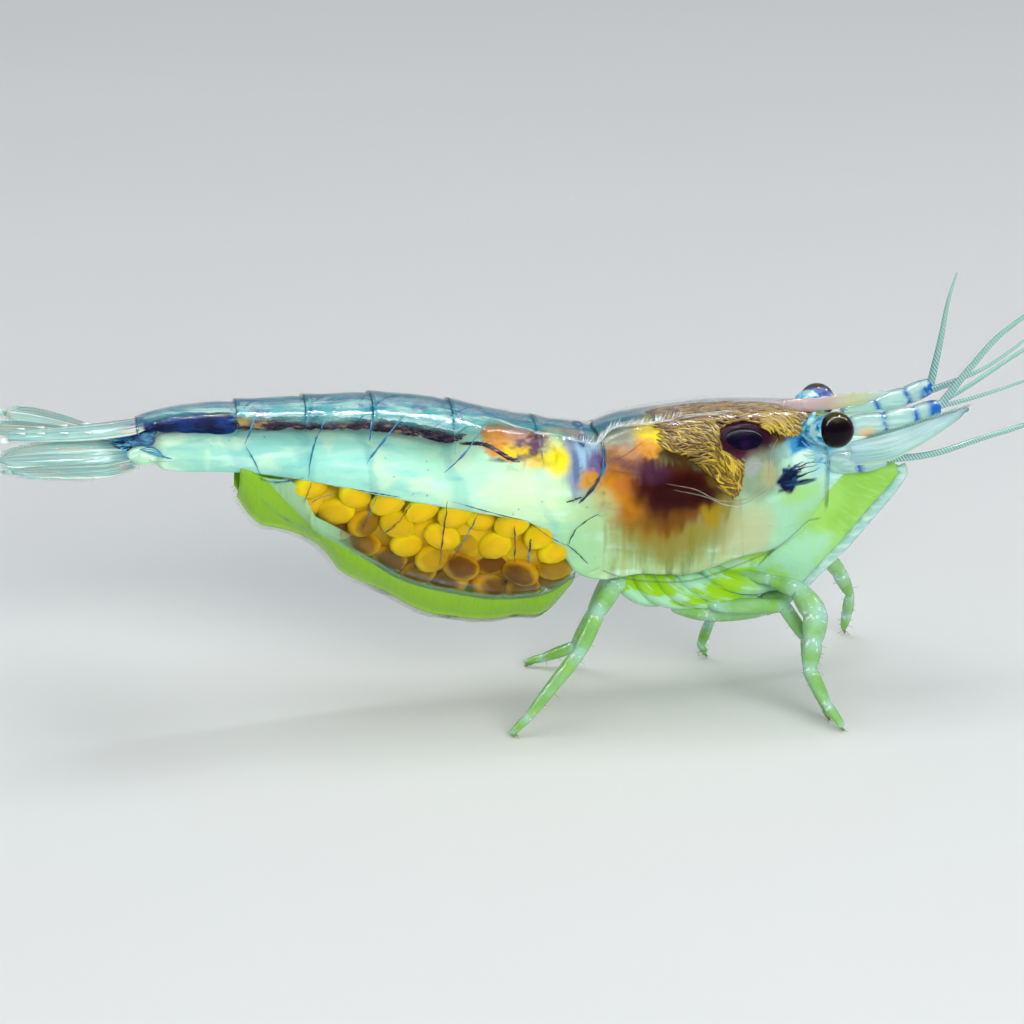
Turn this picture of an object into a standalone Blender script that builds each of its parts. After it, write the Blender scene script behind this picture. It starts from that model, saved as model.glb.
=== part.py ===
"""A berried dwarf aquarium shrimp at life size, standing on its six walking legs.

Sizes are millimetres until a mesh is made. +X is forward, +Y the animal's left and +Z up. While the
pieces are made, x = 0 is where the carapace meets the abdomen and z = 0 is the floor. At the end
everything slides over, so that the origin is under the middle of the whole animal's box. Every piece
is one closed solid, a thin gap away from its neighbours.
"""

import bisect
import math

import bmesh
import bpy
from mathutils import Matrix, Vector

MM = 0.001
GAP = 0.08  # clearance between neighbouring pieces
WALL = 0.5  # least thickness of side plates, blades and feelers
FEELER_RADIUS = WALL / math.sqrt(3)  # of a six-sided feeler that is this thick across its flats
SIDES = {"right": -1.0, "left": 1.0}

# The joints of the body along its back, from the carapace's rear edge to the tail fan.
JOINTS = (0.0, -1.88, -4.29, -6.73, -8.77, -10.87, -13.9)
# How far each joint's line has moved along x at the lower edge of the side plates.
LEANS = (0.15, 0.95, -0.55, -0.7, -0.75, -0.3, 0.0)
CARAPACE_BULGE = 0.35  # the first segment rounds forward under the carapace by this much
CARAPACE_FRONT = 6.55  # front of the carapace over the eyes
CHEEK_REACH = 0.7  # how much further forward its lower front corner stands

EYE_RADIUS = 0.55
EYE_CENTRE = (7.36, 1.42, 8.97)
ROSTRUM_TIP = 9.35
TELSON_TIP = -17.9
LEG_THICK = 0.44  # radii of a walking leg near the body and at its foot
LEG_THIN = 0.25
EGG_HALF_LENGTH = 0.56
EGG_RADIUS = 0.42
EGG_COLUMNS = 8


def profile(*points):
    """A smooth curve through (x, value) points given from low to high x, level past its ends."""
    xs = [x for x, _ in points]

    def slope(i):
        low, high = max(i - 1, 0), min(i + 1, len(points) - 1)
        return (points[high][1] - points[low][1]) / (xs[high] - xs[low])

    def value(x):
        if x <= xs[0]:
            return points[0][1]
        if x >= xs[-1]:
            return points[-1][1]
        i = bisect.bisect_right(xs, x) - 1
        step = xs[i + 1] - xs[i]
        t = (x - xs[i]) / step
        along = points[i][1] * (1 + 2 * t) * (1 - t) ** 2 + points[i + 1][1] * t * t * (3 - 2 * t)
        return along + step * (slope(i) * t * (1 - t) ** 2 - slope(i + 1) * t * t * (1 - t))

    return value


class Trunk:
    """Sections across the abdomen or carapace: an arched back, side plates and the underside between."""

    def __init__(self, top, waist_depth, width, edge, belly, tuck):
        self.top, self.waist_depth, self.width = top, waist_depth, width
        self.edge, self.belly, self.tuck = edge, belly, tuck

    def outside(self, x, t):
        """(y, z) on one flank. t is 0 on the back's middle line and 1 at the side plate's lower edge."""
        top, edge, width = self.top(x), self.edge(x), self.width(x)
        waist = max(top - self.waist_depth(x), edge + 0.05)
        if t < 0.5:
            turn = t * math.pi
            return width * math.sin(turn), waist + (top - waist) * math.cos(turn)
        down = 2 * t - 1
        return width * (1 - self.tuck * down * down), waist + (edge - waist) * down

    def underside(self, x, q):
        """(y, z) inside the side plates. q is 0 at the plate's lower edge and 1 on the middle line."""
        inner = self.outside(x, 1)[0] - WALL
        z = self.edge(x) + (self.belly(x) - self.edge(x)) * min(1.0, 3 * q)
        return inner * (1 - max(0.0, 1.2 * q - 0.2)), z


BACK = profile(
    (-14.4, 10.0), (-13.3, 10.25), (-11, 10.26), (-8.3, 10.3),
    (-6.4, 10.26), (-4.5, 9.96), (-2, 9.34), (0.4, 8.92),
)
FLANK = profile(
    (-14.2, 0.92), (-12.5, 1.15), (-10.8, 1.3), (-8.3, 1.66), (-5.8, 1.95), (-3, 2.05), (0.3, 1.85)
)
PLATE_EDGE = profile(
    (-14, 8.75), (-11.3, 8.6), (-10, 7.1), (-8.6, 6.3),
    (-6.5, 5.2), (-4, 4.5), (-2, 4.35), (-0.6, 4.7), (0.3, 5),
)
ABDOMEN = Trunk(
    top=BACK,
    waist_depth=profile((-14, 0.9), (-11, 1.1), (-7, 1.5), (-3, 1.8), (0, 1.9)),
    width=FLANK,
    edge=PLATE_EDGE,
    belly=profile((-14, 8.3), (-12, 8.27), (-10.8, 8.18), (-8.8, 7.84), (-6, 7.18), (-3, 6.5), (0.3, 5.9)),
    tuck=0.12,
)
CARAPACE = Trunk(
    top=profile((0, 8.98), (0.6, 9.24), (1.4, 9.38), (2.5, 9.5), (3.8, 9.6), (5, 9.57), (6.2, 9.5)),
    waist_depth=profile((0, 2.0), (2.5, 2.3), (5, 2.1), (7.3, 1.5)),
    width=profile((0, 1.95), (1.2, 2.1), (2.6, 2.18), (4.2, 2.08), (5.6, 1.85), (6.6, 1.5), (7.3, 1.2)),
    edge=profile((-0.2, 5), (0.4, 4.68), (1.2, 4.48), (2.8, 4.42), (4.4, 4.86), (5.7, 5.35), (6.6, 6)),
    belly=profile((0, 5.9), (2, 5.4), (5, 5.7), (7.3, 7.6)),
    tuck=0.1,
)
CLUTCH_FLOOR = profile(
    (-9.2, 6.4), (-7.7, 5.5), (-6.0, 4.35), (-4.4, 3.75), (-2.9, 3.55), (-1.6, 3.7), (-0.5, 4.3)
)
FLANK_STEPS = (0, 1 / 6, 1 / 3, 1 / 2, 2 / 3, 5 / 6, 1)
UNDERSIDE_STEPS = (0, 1 / 3, 0.65, 1)
# The end faces of one half of a section, whose points run down the flank and back along the underside.
# Neighbouring segments share this pattern, so that their bent end faces fit.
HALF_END = ((6, 5, 8, 7), (5, 4, 8), (4, 3, 8), (3, 2, 9, 8), (2, 1, 10, 9), (1, 0, 10))


def joint_line(i):
    """x of body joint i as a function of t, where t runs down the flank as in Trunk.outside."""

    def line(t):
        bulge = CARAPACE_BULGE * math.sin(math.pi * t) if i == 0 else 0.0
        return JOINTS[i] + LEANS[i] * t * t + bulge

    return line


def material(name, colour, roughness):
    made = bpy.data.materials.new(name)
    made.use_nodes = True
    shader = made.node_tree.nodes["Principled BSDF"]
    shader.inputs["Base Color"].default_value = (*colour, 1.0)
    shader.inputs["Roughness"].default_value = roughness
    shader.inputs["Metallic"].default_value = 0.0
    return made


def new_object(name, bm, finish):
    """A sub-part in metres, its faces outwards, shaded smooth but for its sharp edges."""
    bmesh.ops.recalc_face_normals(bm, faces=bm.faces)
    if bm.calc_volume(signed=True) < 0:
        bmesh.ops.reverse_faces(bm, faces=bm.faces)
    bmesh.ops.scale(bm, vec=(MM, MM, MM), verts=bm.verts)
    mesh = bpy.data.meshes.new(name)
    bm.to_mesh(mesh)
    bm.free()
    mesh.shade_smooth()
    mesh.set_sharp_from_angle(angle=math.radians(50))
    mesh.materials.append(FINISHES[finish])
    obj = bpy.data.objects.new(name, mesh)
    bpy.context.scene.collection.objects.link(obj)
    return obj


def skin_rings(rings, end_faces=None):
    """A bmesh through closed rings of points. Each end is one face, or those whose corners are listed."""
    bm = bmesh.new()
    rows = [[bm.verts.new(p) for p in ring] for ring in rings]
    for row, following in zip(rows, rows[1:]):
        for i in range(len(row)):
            bm.faces.new((row[i - 1], row[i], following[i], following[i - 1]))
    for row in (rows[0], rows[-1]):
        for corners in end_faces or [range(len(row))]:
            bm.faces.new([row[i] for i in corners])
    return bm


def trunk_length(name, trunk, front, rear, steps, finish):
    """A length of the body between two lines, each giving x down the flank."""
    rings = []
    for k in range(steps + 1):
        share = k / steps

        def x_at(t):
            return front(t) * (1 - share) + rear(t) * share

        half = [(x_at(t), *trunk.outside(x_at(t), t)) for t in FLANK_STEPS]
        for q in UNDERSIDE_STEPS:
            x = x_at(1 - 0.45 * min(1.0, 3 * q))
            half.append((x, *trunk.underside(x, q)))
        rings.append(half + [(x, -y, z) for x, y, z in half[-2:0:-1]])
    count = len(rings[0])
    other_half = [[(count - i) % count for i in corners] for corners in HALF_END]
    return new_object(name, skin_rings(rings, [*HALF_END, *other_half]), finish)


def frames(points):
    """(side, up) across a path at each of its points, turned as little as the path allows."""
    side, found = None, []
    for i in range(len(points)):
        tangent = (points[min(i + 1, len(points) - 1)] - points[max(i - 1, 0)]).normalized()
        if side is None:
            side = tangent.cross(Vector((0, 0, 1)))
        side = (side - tangent * side.dot(tangent)).normalized()
        found.append((side, side.cross(tangent)))
    return found


def tube(name, path, radii, finish, sides=8, flat_foot=False):
    """A limb or feeler of the given radius at each point of its path."""
    points = [Vector(p) for p in path]
    turns = [2 * math.pi * i / sides for i in range(sides)]
    rings = []
    for point, radius, (side, up) in zip(points, radii, frames(points)):
        rings.append([point + radius * (math.cos(a) * side + math.sin(a) * up) for a in turns])
    bm = skin_rings(rings)
    if flat_foot:
        everything = bm.verts[:] + bm.edges[:] + bm.faces[:]
        cut = bmesh.ops.bisect_plane(
            bm, geom=everything, plane_co=(0, 0, 0), plane_no=(0, 0, -1), clear_outer=True
        )
        rim = [e for e in cut["geom_cut"] if isinstance(e, bmesh.types.BMEdge)]
        bmesh.ops.edgenet_fill(bm, edges=rim)
    return new_object(name, bm, finish)


def smooth_path(points, steps):
    """Points along a smooth curve through the given ones, this many for each stretch."""
    along = range(len(points))
    axes = [profile(*zip(along, values)) for values in zip(*points)]
    return [tuple(axis(k / steps) for axis in axes) for k in range((len(points) - 1) * steps + 1)]


def limb(name, joints, radii, finish, sides=8, flat_foot=False):
    """A jointed leg, each length of it a little thicker in its middle than at its joints."""
    points, sizes = [], []
    for (a, b), (ra, rb) in zip(zip(joints, joints[1:]), zip(radii, radii[1:])):
        for share, swell in ((0, 0.95), (0.45, 1.1)):
            points.append(Vector(a).lerp(Vector(b), share))
            sizes.append((ra + (rb - ra) * share) * swell)
    points.append(Vector(joints[-1]))
    sizes.append(radii[-1])
    return tube(name, points, [max(r, WALL / 2) for r in sizes], finish, sides, flat_foot)


def blade(name, front, back, finish, bulge=(0, 0, 0), thickness=WALL):
    """A plate between two edges, each a row of points. bulge pushes its middle out."""
    ring_steps = ((0, 0), (0.12, 1), (0.5, 1), (0.88, 1), (1, 0), (0.88, -1), (0.5, -1), (0.12, -1))
    fronts, backs = [Vector(p) for p in front], [Vector(p) for p in back]
    middles = [(a + b) / 2 for a, b in zip(fronts, backs)]
    rings = []
    for i, (a, b) in enumerate(zip(fronts, backs)):
        along = middles[min(i + 1, len(middles) - 1)] - middles[max(i - 1, 0)]
        half = (b - a).cross(along).normalized() * thickness / 2
        crown = [Vector(bulge) * 4 * share * (1 - share) for share, _ in ring_steps]
        rings.append([a.lerp(b, share) + half * rise + c for (share, rise), c in zip(ring_steps, crown)])
    return new_object(name, skin_rings(rings), finish)


def mirror(points, side):
    """Points given for the left side, on the named side."""
    return [(x, y * SIDES[side], z) for x, y, z in points]


def swollen(obj):
    """A hidden copy of a piece, grown by the gap, which keeps another piece clear of it."""
    name = "clearance_" + obj.name
    if name in bpy.data.objects:
        return bpy.data.objects[name]
    bm = bmesh.new()
    bm.from_mesh(obj.data)
    bm.normal_update()
    for vert in bm.verts:
        vert.co += vert.normal * GAP * MM * vert.calc_shell_factor()
    mesh = bpy.data.meshes.new(name)
    bm.to_mesh(mesh)
    bm.free()
    cutter = bpy.data.objects.new(name, mesh)
    bpy.context.scene.collection.objects.link(cutter)
    cutter.hide_render = True
    cutter.display_type = "WIRE"
    return cutter


def keep_clear(obj, *neighbours):
    """Takes out of a piece what lies in its neighbours or within the gap of them."""
    for neighbour in neighbours:
        cut = obj.modifiers.new("clear_of_" + neighbour.name, "BOOLEAN")
        cut.operation = "DIFFERENCE"
        cut.object = swollen(neighbour)


def body_and_head(pieces):
    """The carapace, the six segments of the abdomen, the front of the head and the rostrum."""

    def cheek(t):
        rise = min(1.0, max(0.0, (t - 0.08) / 0.45))
        return CARAPACE_FRONT + CHEEK_REACH * rise * rise * (3 - 2 * rise)

    def shell_rear(t):
        return joint_line(0)(t) + GAP

    pieces["carapace"] = trunk_length("carapace", CARAPACE, cheek, shell_rear, 12, "shell")
    for i in range(len(JOINTS) - 1):
        name = f"abdomen_{i + 1}"
        front, rear = joint_line(i), joint_line(i + 1)
        pieces[name] = trunk_length(
            name, ABDOMEN, lambda t, f=front: f(t) - GAP / 2, lambda t, r=rear: r(t) + GAP / 2, 4, "shell"
        )

    path = [(5.9, 0, 8.2), (6.6, 0, 8.2), (7.4, 0, 8.15), (8.1, 0, 8.2), (8.6, 0, 8.3)]
    head = tube("head", path, (0.85, 0.95, 0.9, 0.75, 0.5), "shell", sides=12)
    keep_clear(head, pieces["carapace"])
    pieces["head"] = head

    upper = [(6.2, 0, 9.56), (7.0, 0, 9.56), (7.8, 0, 9.62), (8.6, 0, 9.66), (ROSTRUM_TIP, 0, 9.64)]
    lower = [(6.2, 0, 9.1), (7.0, 0, 9.12), (7.8, 0, 9.16), (8.6, 0, 9.28), (ROSTRUM_TIP, 0, 9.5)]
    pieces["rostrum"] = blade("rostrum", upper, lower, "shell")
    keep_clear(pieces["rostrum"], pieces["carapace"], head)


def eyes(pieces, side):
    """A round black eye on a short stalk, which leaves the head sideways and forwards."""
    bm = bmesh.new()
    bmesh.ops.create_uvsphere(bm, u_segments=14, v_segments=9, radius=EYE_RADIUS)
    bmesh.ops.translate(bm, vec=mirror([EYE_CENTRE], side)[0], verts=bm.verts)
    eye = new_object(f"eye_{side}", bm, "eye")
    keep_clear(eye, pieces["head"], pieces["carapace"])
    path = mirror([(6.95, 0.35, 8.85), (7.1, 0.75, 8.9), (7.24, 1.1, 8.94), (7.32, 1.3, 8.96)], side)
    stalk = tube(f"eyestalk_{side}", path, (0.3, 0.34, 0.42, 0.4), "pigment")
    keep_clear(stalk, eye, pieces["head"], pieces["carapace"], pieces["rostrum"])
    pieces[eye.name], pieces[stalk.name] = eye, stalk


def antennule(pieces, side):
    """The upper feeler: a jointed stalk that ends in two whips. The two sides are held differently."""
    lift = {"right": 0.0, "left": 0.34}[side]
    outer_path = {
        "right": [
            (10.95, 0.62, 9.42), (11.69, 0.6, 10.45), (12.7, 0.8, 11.7), (14.2, 1.4, 12.9), (16, 2.3, 13.6)
        ],
        "left": [(10.86, 0.58, 9.85), (11.07, 0.64, 11.04), (11.32, 0.82, 12.28), (11.62, 1.05, 13.1)],
    }[side]
    inner_path = {
        "right": [(10.95, 0.42, 9.2), (12.2, 0.3, 9.5), (13.9, 0.5, 10.1), (15.8, 1.1, 10.9)],
        "left": [(10.98, 0.36, 9.66), (12.4, 0.25, 10.2), (14.0, 0.5, 11.2), (15.6, 1.2, 12.2)],
    }[side]
    joints = [
        (8.15, 0.5, 8.72), (9.08, 0.58, 8.86 + 0.3 * lift),
        (10.03, 0.6, 9.06 + 0.7 * lift), (10.8, 0.56, 9.28 + lift),
    ]
    stalk = limb(f"antennule_{side}", mirror(joints, side), (0.36, 0.33, 0.3, 0.27), "shell")
    keep_clear(stalk, pieces["head"], pieces["rostrum"], pieces[f"eye_{side}"], pieces[f"eyestalk_{side}"])
    path = smooth_path(mirror(outer_path, side), 3)
    outer = tube(f"feeler_outer_{side}", path, [FEELER_RADIUS] * len(path), "feeler", sides=6)
    keep_clear(outer, stalk)
    path = smooth_path(mirror(inner_path, side), 3)
    inner = tube(f"feeler_inner_{side}", path, [FEELER_RADIUS] * len(path), "feeler", sides=6)
    keep_clear(inner, stalk, outer)
    pieces[stalk.name], pieces[outer.name], pieces[inner.name] = stalk, outer, inner


def antenna(pieces, side):
    """The lower feeler: a jointed base that carries a broad scale and one long whip."""
    joints = mirror([(7.55, 0.85, 7.7), (8.3, 1.25, 7.75), (9.0, 1.45, 7.95)], side)
    base = limb(f"antenna_base_{side}", joints, (0.42, 0.38, 0.3), "shell")
    keep_clear(base, pieces["head"], pieces["carapace"])
    outer_edge = [(8.2, 1.55, 8), (8.9, 1.75, 8.05), (9.8, 1.75, 8.4), (10.7, 1.6, 8.85), (11.55, 1.3, 9.3)]
    inner_edge = [(8.25, 1, 8.35), (8.9, 1.05, 8.7), (9.8, 1.02, 9), (10.7, 1.02, 9.25), (11.45, 1.12, 9.4)]
    crown = (0, 0.1 * SIDES[side], 0.15)
    edges = mirror(outer_edge, side), mirror(inner_edge, side)
    scale = blade(f"antenna_scale_{side}", *edges, "shell", crown)
    keep_clear(scale, base, pieces[f"antennule_{side}"], pieces["head"], pieces[f"eye_{side}"])
    whip_path = [
        (9.0, 1.45, 7.95), (10.4, 1.7, 8.15), (12.3, 2.2, 8.9),
        (14.8, 3.3, 9.9), (17.6, 5.0, 10.1), (20.2, 7.4, 9.2),
    ]
    path = smooth_path(mirror(whip_path, side), 3)
    whip = tube(f"whip_{side}", path, [FEELER_RADIUS] * len(path), "feeler", sides=6)
    keep_clear(whip, base, scale)
    pieces[base.name], pieces[scale.name], pieces[whip.name] = base, scale, whip


def mouth(pieces):
    """The underside that the legs grow from, and the mouth's parts in front of it."""
    path = [(0.75, 0, 4.75), (1.6, 0, 4.45), (3, 0, 4.2), (4.6, 0, 4.3), (6, 0, 4.75), (6.9, 0, 5.5)]
    base = tube("leg_base", path, (0.55, 0.95, 1.15, 1.1, 0.9, 0.6), "flesh", sides=12)
    keep_clear(base, pieces["carapace"])
    path = [(6.7, 0, 5.7), (7.1, 0, 6.4), (7.5, 0, 7.1), (7.8, 0, 7.6)]
    jaws = tube("mouth", path, (0.5, 0.62, 0.6, 0.4), "pigment")
    keep_clear(jaws, base, pieces["carapace"], pieces["head"])
    keep_clear(jaws, *(pieces[f"antenna_base_{side}"] for side in SIDES))
    pieces[base.name], pieces[jaws.name] = base, jaws


def jaw_leg_and_claws(pieces, side):
    """A fringed jaw leg up the front of the head, and two small clawed legs folded under the thorax."""
    front = [
        (6.25, 1, 3.3), (6.97, 1.2, 4.3), (7.75, 1.2, 5.1), (8.55, 1.1, 6),
        (9.2, 1, 6.7), (9.62, 0.9, 7.25), (9.5, 0.82, 7.6),
    ]
    fringe = [
        (5.9, 1, 4), (6.5, 1.15, 5), (7.1, 1.15, 6), (7.5, 1.1, 6.9),
        (8.1, 1, 7.3), (8.7, 0.9, 7.5), (9.2, 0.82, 7.75),
    ]
    jaw = blade(f"jaw_leg_{side}", mirror(front, side), mirror(fringe, side), "leg")
    keep_clear(jaw, pieces["leg_base"], pieces["mouth"], pieces["carapace"], pieces["head"])
    keep_clear(jaw, pieces[f"antenna_base_{side}"], pieces[f"antenna_scale_{side}"], pieces[f"whip_{side}"])
    pieces[jaw.name] = jaw

    joints = [(5.5, 0.5, 4), (6.3, 0.68, 3.95), (7.05, 0.5, 4.75), (7.85, 0.45, 5.75)]
    first = limb(f"claw_leg_1_{side}", mirror(joints, side), (0.3, 0.32, 0.3, 0.28), "leg", sides=6)
    keep_clear(first, pieces["leg_base"], jaw, pieces["carapace"])
    joints = [(2.5, 0.7, 3.3), (3.6, 0.82, 3), (5.3, 0.85, 3.05), (6.15, 0.75, 3.4), (6.45, 0.62, 4)]
    second = limb(f"claw_leg_2_{side}", mirror(joints, side), (0.3, 0.32, 0.3, 0.28, 0.25), "leg", sides=6)
    keep_clear(second, pieces["leg_base"], jaw, pieces["carapace"], first)
    pieces[first.name], pieces[second.name] = first, second


LEG_JOINTS = {
    (3, "right"): [
        (4.5, 0.9, 4.2), (5.4, 1.75, 4.35), (6.25, 2.3, 4.15), (6.6, 2.75, 3.45),
        (6.45, 3.1, 2.65), (6.29, 3.4, 1.9), (6.8, 3.75, 0.82), (7.25, 4.02, -0.15),
    ],
    (3, "left"): [
        (4.3, 0.9, 3.9), (5.9, 1.75, 3.75), (7.89, 2.2, 3.6), (8.54, 2.8, 2.63),
        (9.06, 3.4, 1.59), (9.04, 3.7, 0.86), (9.0, 4.0, -0.15),
    ],
    (4, "right"): [
        (2.9, 0.9, 3.8), (3.8, 1.6, 3.35), (5.8, 1.8, 3.35),
        (6.4, 2.25, 2.45), (6.4, 2.75, 1.4), (7, 3.1, -0.15),
    ],
    (4, "left"): [
        (2.9, 0.9, 3.8), (3.8, 1.6, 3.1), (4.5, 2, 2.4),
        (4.2, 2.3, 1.3), (3.98, 2.5, 0.5), (4.15, 2.65, -0.15),
    ],
    (5, "right"): [
        (1.5, 0.6, 4.3), (0.5, 1.3, 4.15), (-0.15, 2.1, 3.6),
        (-0.8, 2.6, 2.5), (-2.45, 3, 0.6), (-2.95, 3.1, -0.15),
    ],
    (5, "left"): [
        (1.5, 0.6, 4.3), (0.75, 1.1, 3.5), (0.35, 1.8, 2.08),
        (-0.13, 2.2, 0.8), (-1.15, 2.5, 0.33), (-1.75, 2.62, -0.15),
    ],
}


def walking_legs(pieces):
    """Three pairs of walking legs, in mid step. Each stands on a small flat cut level with the floor."""
    for (number, side), joints in LEG_JOINTS.items():
        last = len(joints) - 1
        radii = [LEG_THICK + (LEG_THIN - LEG_THICK) * (i / last) ** 1.5 for i in range(last + 1)]
        leg = limb(f"walking_leg_{number}_{side}", mirror(joints, side), radii, "leg", flat_foot=True)
        keep_clear(leg, pieces["leg_base"], pieces["carapace"], pieces["abdomen_1"], pieces["abdomen_2"])
        keep_clear(leg, *(pieces[f"claw_leg_{n}_{side}"] for n in (1, 2)), pieces[f"jaw_leg_{side}"])
        if number > 3:
            keep_clear(leg, pieces[f"walking_leg_{number - 1}_{side}"])
        pieces[leg.name] = leg


def hidden_egg(name, place):
    """One egg, not drawn by itself but joined into the clutch."""
    bm = bmesh.new()
    bmesh.ops.create_icosphere(bm, subdivisions=1, radius=1)
    size = Matrix.Diagonal((EGG_HALF_LENGTH, EGG_RADIUS, EGG_RADIUS, 1))
    bmesh.ops.transform(bm, matrix=Matrix.Translation(place) @ size, verts=bm.verts)
    egg = new_object(name, bm, "egg")
    bpy.context.scene.collection.objects.unlink(egg)
    egg.hide_render = True
    egg.display_type = "WIRE"
    return egg


def clutch(pieces):
    """The eggs under the abdomen: one lump, with an egg standing out of it wherever one lies."""
    eggs = bpy.data.collections.new("eggs")
    bpy.context.scene.collection.children.link(eggs)
    for column in range(EGG_COLUMNS):
        x = -1.0 - 0.95 * column
        ceiling = ABDOMEN.belly(x) - GAP - EGG_RADIUS
        lowest = CLUTCH_FLOOR(x) + GAP + EGG_RADIUS
        rows = max(1, round((ceiling - CLUTCH_FLOOR(x)) / (2.5 * EGG_RADIUS)))
        for row in range(rows):
            z = ceiling + (lowest - ceiling) * row / max(rows - 1, 1)
            for side in (-1, 1):
                shift = 0.25 * math.sin(2.4 * row + side)
                place = (x + shift, side * (0.88 - 0.12 * row), z)
                eggs.objects.link(hidden_egg(f"egg_{column}_{row}_{side}", place))

    stations = (-0.7, -1.5, -3, -4.5, -6, -7.4, -8.2)
    path = [(x, 0, (ABDOMEN.belly(x) + CLUTCH_FLOOR(x) - 0.1) / 2) for x in stations]
    radii = [min((ABDOMEN.belly(x) - CLUTCH_FLOOR(x)) / 2 - 0.12, 1.2) for x in stations]
    lump = tube("egg_clutch", path, [0.85 * radii[0], *radii[1:-1], 0.85 * radii[-1]], "egg", sides=10)
    join = lump.modifiers.new("eggs", "BOOLEAN")
    join.operation = "UNION"
    join.operand_type = "COLLECTION"
    join.collection = eggs
    keep_clear(lump, *(pieces[f"abdomen_{i + 1}"] for i in range(5)))
    pieces[lump.name] = lump


def swimmerets(pieces, side):
    """Five blades that hang from the abdomen's segments and cup the eggs from below."""
    spans = ((-0.55, -2.1), (-2.1, -4.1), (-4.1, -6.1), (-6.1, -8.2), (-8.2, -10.5))
    before = []
    for number, (front, rear) in enumerate(spans, start=1):
        upper, lower = [], []
        for k in range(5):
            x = front + (rear - front) * k / 4
            sag = 0.15 + 0.2 * math.sin(math.pi * k / 4)
            upper.append((x, ABDOMEN.outside(x, 1)[0] - 0.15, ABDOMEN.edge(x) - 0.3))
            lower.append((x - 0.15, 0.33, CLUTCH_FLOOR(x) - sag))
        crown = (0, 0.25 * SIDES[side], -0.42)
        edges = mirror(upper, side), mirror(lower, side)
        wing = blade(f"swimmeret_{number}_{side}", *edges, "swimmeret", crown)
        keep_clear(wing, pieces["egg_clutch"], *(pieces[f"abdomen_{i + 1}"] for i in range(6)))
        keep_clear(wing, pieces[f"walking_leg_5_{side}"], *before)
        pieces[wing.name] = wing
        before = [wing]


def tail_fan(pieces):
    """The telson, and an inner and an outer blade on each side of it."""
    left_edge = [
        (-13.98, 0.72, 9.55), (-14.6, 0.7, 9.52), (-15.6, 0.56, 9.47),
        (-16.8, 0.42, 9.42), (TELSON_TIP, 0.26, 9.38),
    ]
    right_edge = mirror(left_edge, "right")
    pieces["telson"] = blade("telson", left_edge, right_edge, "fan", bulge=(0, 0, 0.22), thickness=0.6)
    blades = {
        "inner": (
            [
                (-14.15, 0.5, 8.8), (-15.2, 0.58, 8.82), (-16.4, 0.65, 8.95), (-17.5, 0.8, 9.05),
                (-18.3, 1.2, 9.15),
            ],
            [
                (-14.15, 1.1, 8.95), (-15.2, 1.5, 9.03), (-16.4, 1.9, 9.12), (-17.5, 2.15, 9.2),
                (-18.2, 2.1, 9.25),
            ],
        ),
        "outer": (
            [
                (-14.1, 1.2, 8.95), (-15.1, 1.65, 9.05), (-16.2, 2.05, 9.15), (-17.2, 2.4, 9.25),
                (-18, 2.6, 9.3),
            ],
            [
                (-14.1, 1.65, 8.95), (-15, 2.3, 9.08), (-16.1, 2.85, 9.22), (-17, 3.2, 9.33),
                (-17.7, 3.3, 9.38),
            ],
        ),
    }
    for side in SIDES:
        for part, (near, far) in blades.items():
            edges = mirror(near, side), mirror(far, side)
            fan = blade(f"tail_{part}_{side}", *edges, "fan", bulge=(0, 0, 0.1))
            pieces[fan.name] = fan


def centre_on_origin(pieces):
    """Slides every piece, and what cuts it, so that the origin is under the middle of the animal's box."""
    bpy.context.view_layer.update()
    graph = bpy.context.evaluated_depsgraph_get()
    corners = [Vector(c) for obj in pieces.values() for c in obj.evaluated_get(graph).bound_box]
    shift = [-(max(c[i] for c in corners) + min(c[i] for c in corners)) / 2 for i in range(2)]
    for obj in bpy.data.objects:
        obj.data.transform(Matrix.Translation((*shift, 0)))


for old in list(bpy.data.objects):
    bpy.data.objects.remove(old)
FINISHES = {
    "shell": material("clear blue-green shell", (0.45, 0.72, 0.66), 0.15),
    "flesh": material("pale green flesh", (0.42, 0.62, 0.28), 0.35),
    "eye": material("black eye", (0.01, 0.005, 0.015), 0.08),
    "pigment": material("blue pigment", (0.05, 0.25, 0.5), 0.25),
    "feeler": material("feeler", (0.3, 0.56, 0.45), 0.3),
    "leg": material("green leg", (0.3, 0.58, 0.25), 0.25),
    "egg": material("yellow egg", (0.78, 0.5, 0.01), 0.25),
    "swimmeret": material("lime swimmeret", (0.35, 0.6, 0.03), 0.3),
    "fan": material("tail fan", (0.35, 0.65, 0.5), 0.2),
}
PARTS = {}
body_and_head(PARTS)
for flank in SIDES:
    eyes(PARTS, flank)
    antennule(PARTS, flank)
    antenna(PARTS, flank)
mouth(PARTS)
for flank in SIDES:
    jaw_leg_and_claws(PARTS, flank)
walking_legs(PARTS)
clutch(PARTS)
for flank in SIDES:
    swimmerets(PARTS, flank)
tail_fan(PARTS)
centre_on_origin(PARTS)
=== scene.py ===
"""The looks of a berried dwarf aquarium shrimp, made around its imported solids.

Pieces are made in millimetres on the animal's own axes: x = 0 where the carapace meets the abdomen,
+x forward, +y its left, +z up, z = 0 the floor. finished() puts each of them into the frame.
"""

import bisect
import math
import random

import bmesh
import bpy
from mathutils import Matrix, Vector, noise


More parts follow.
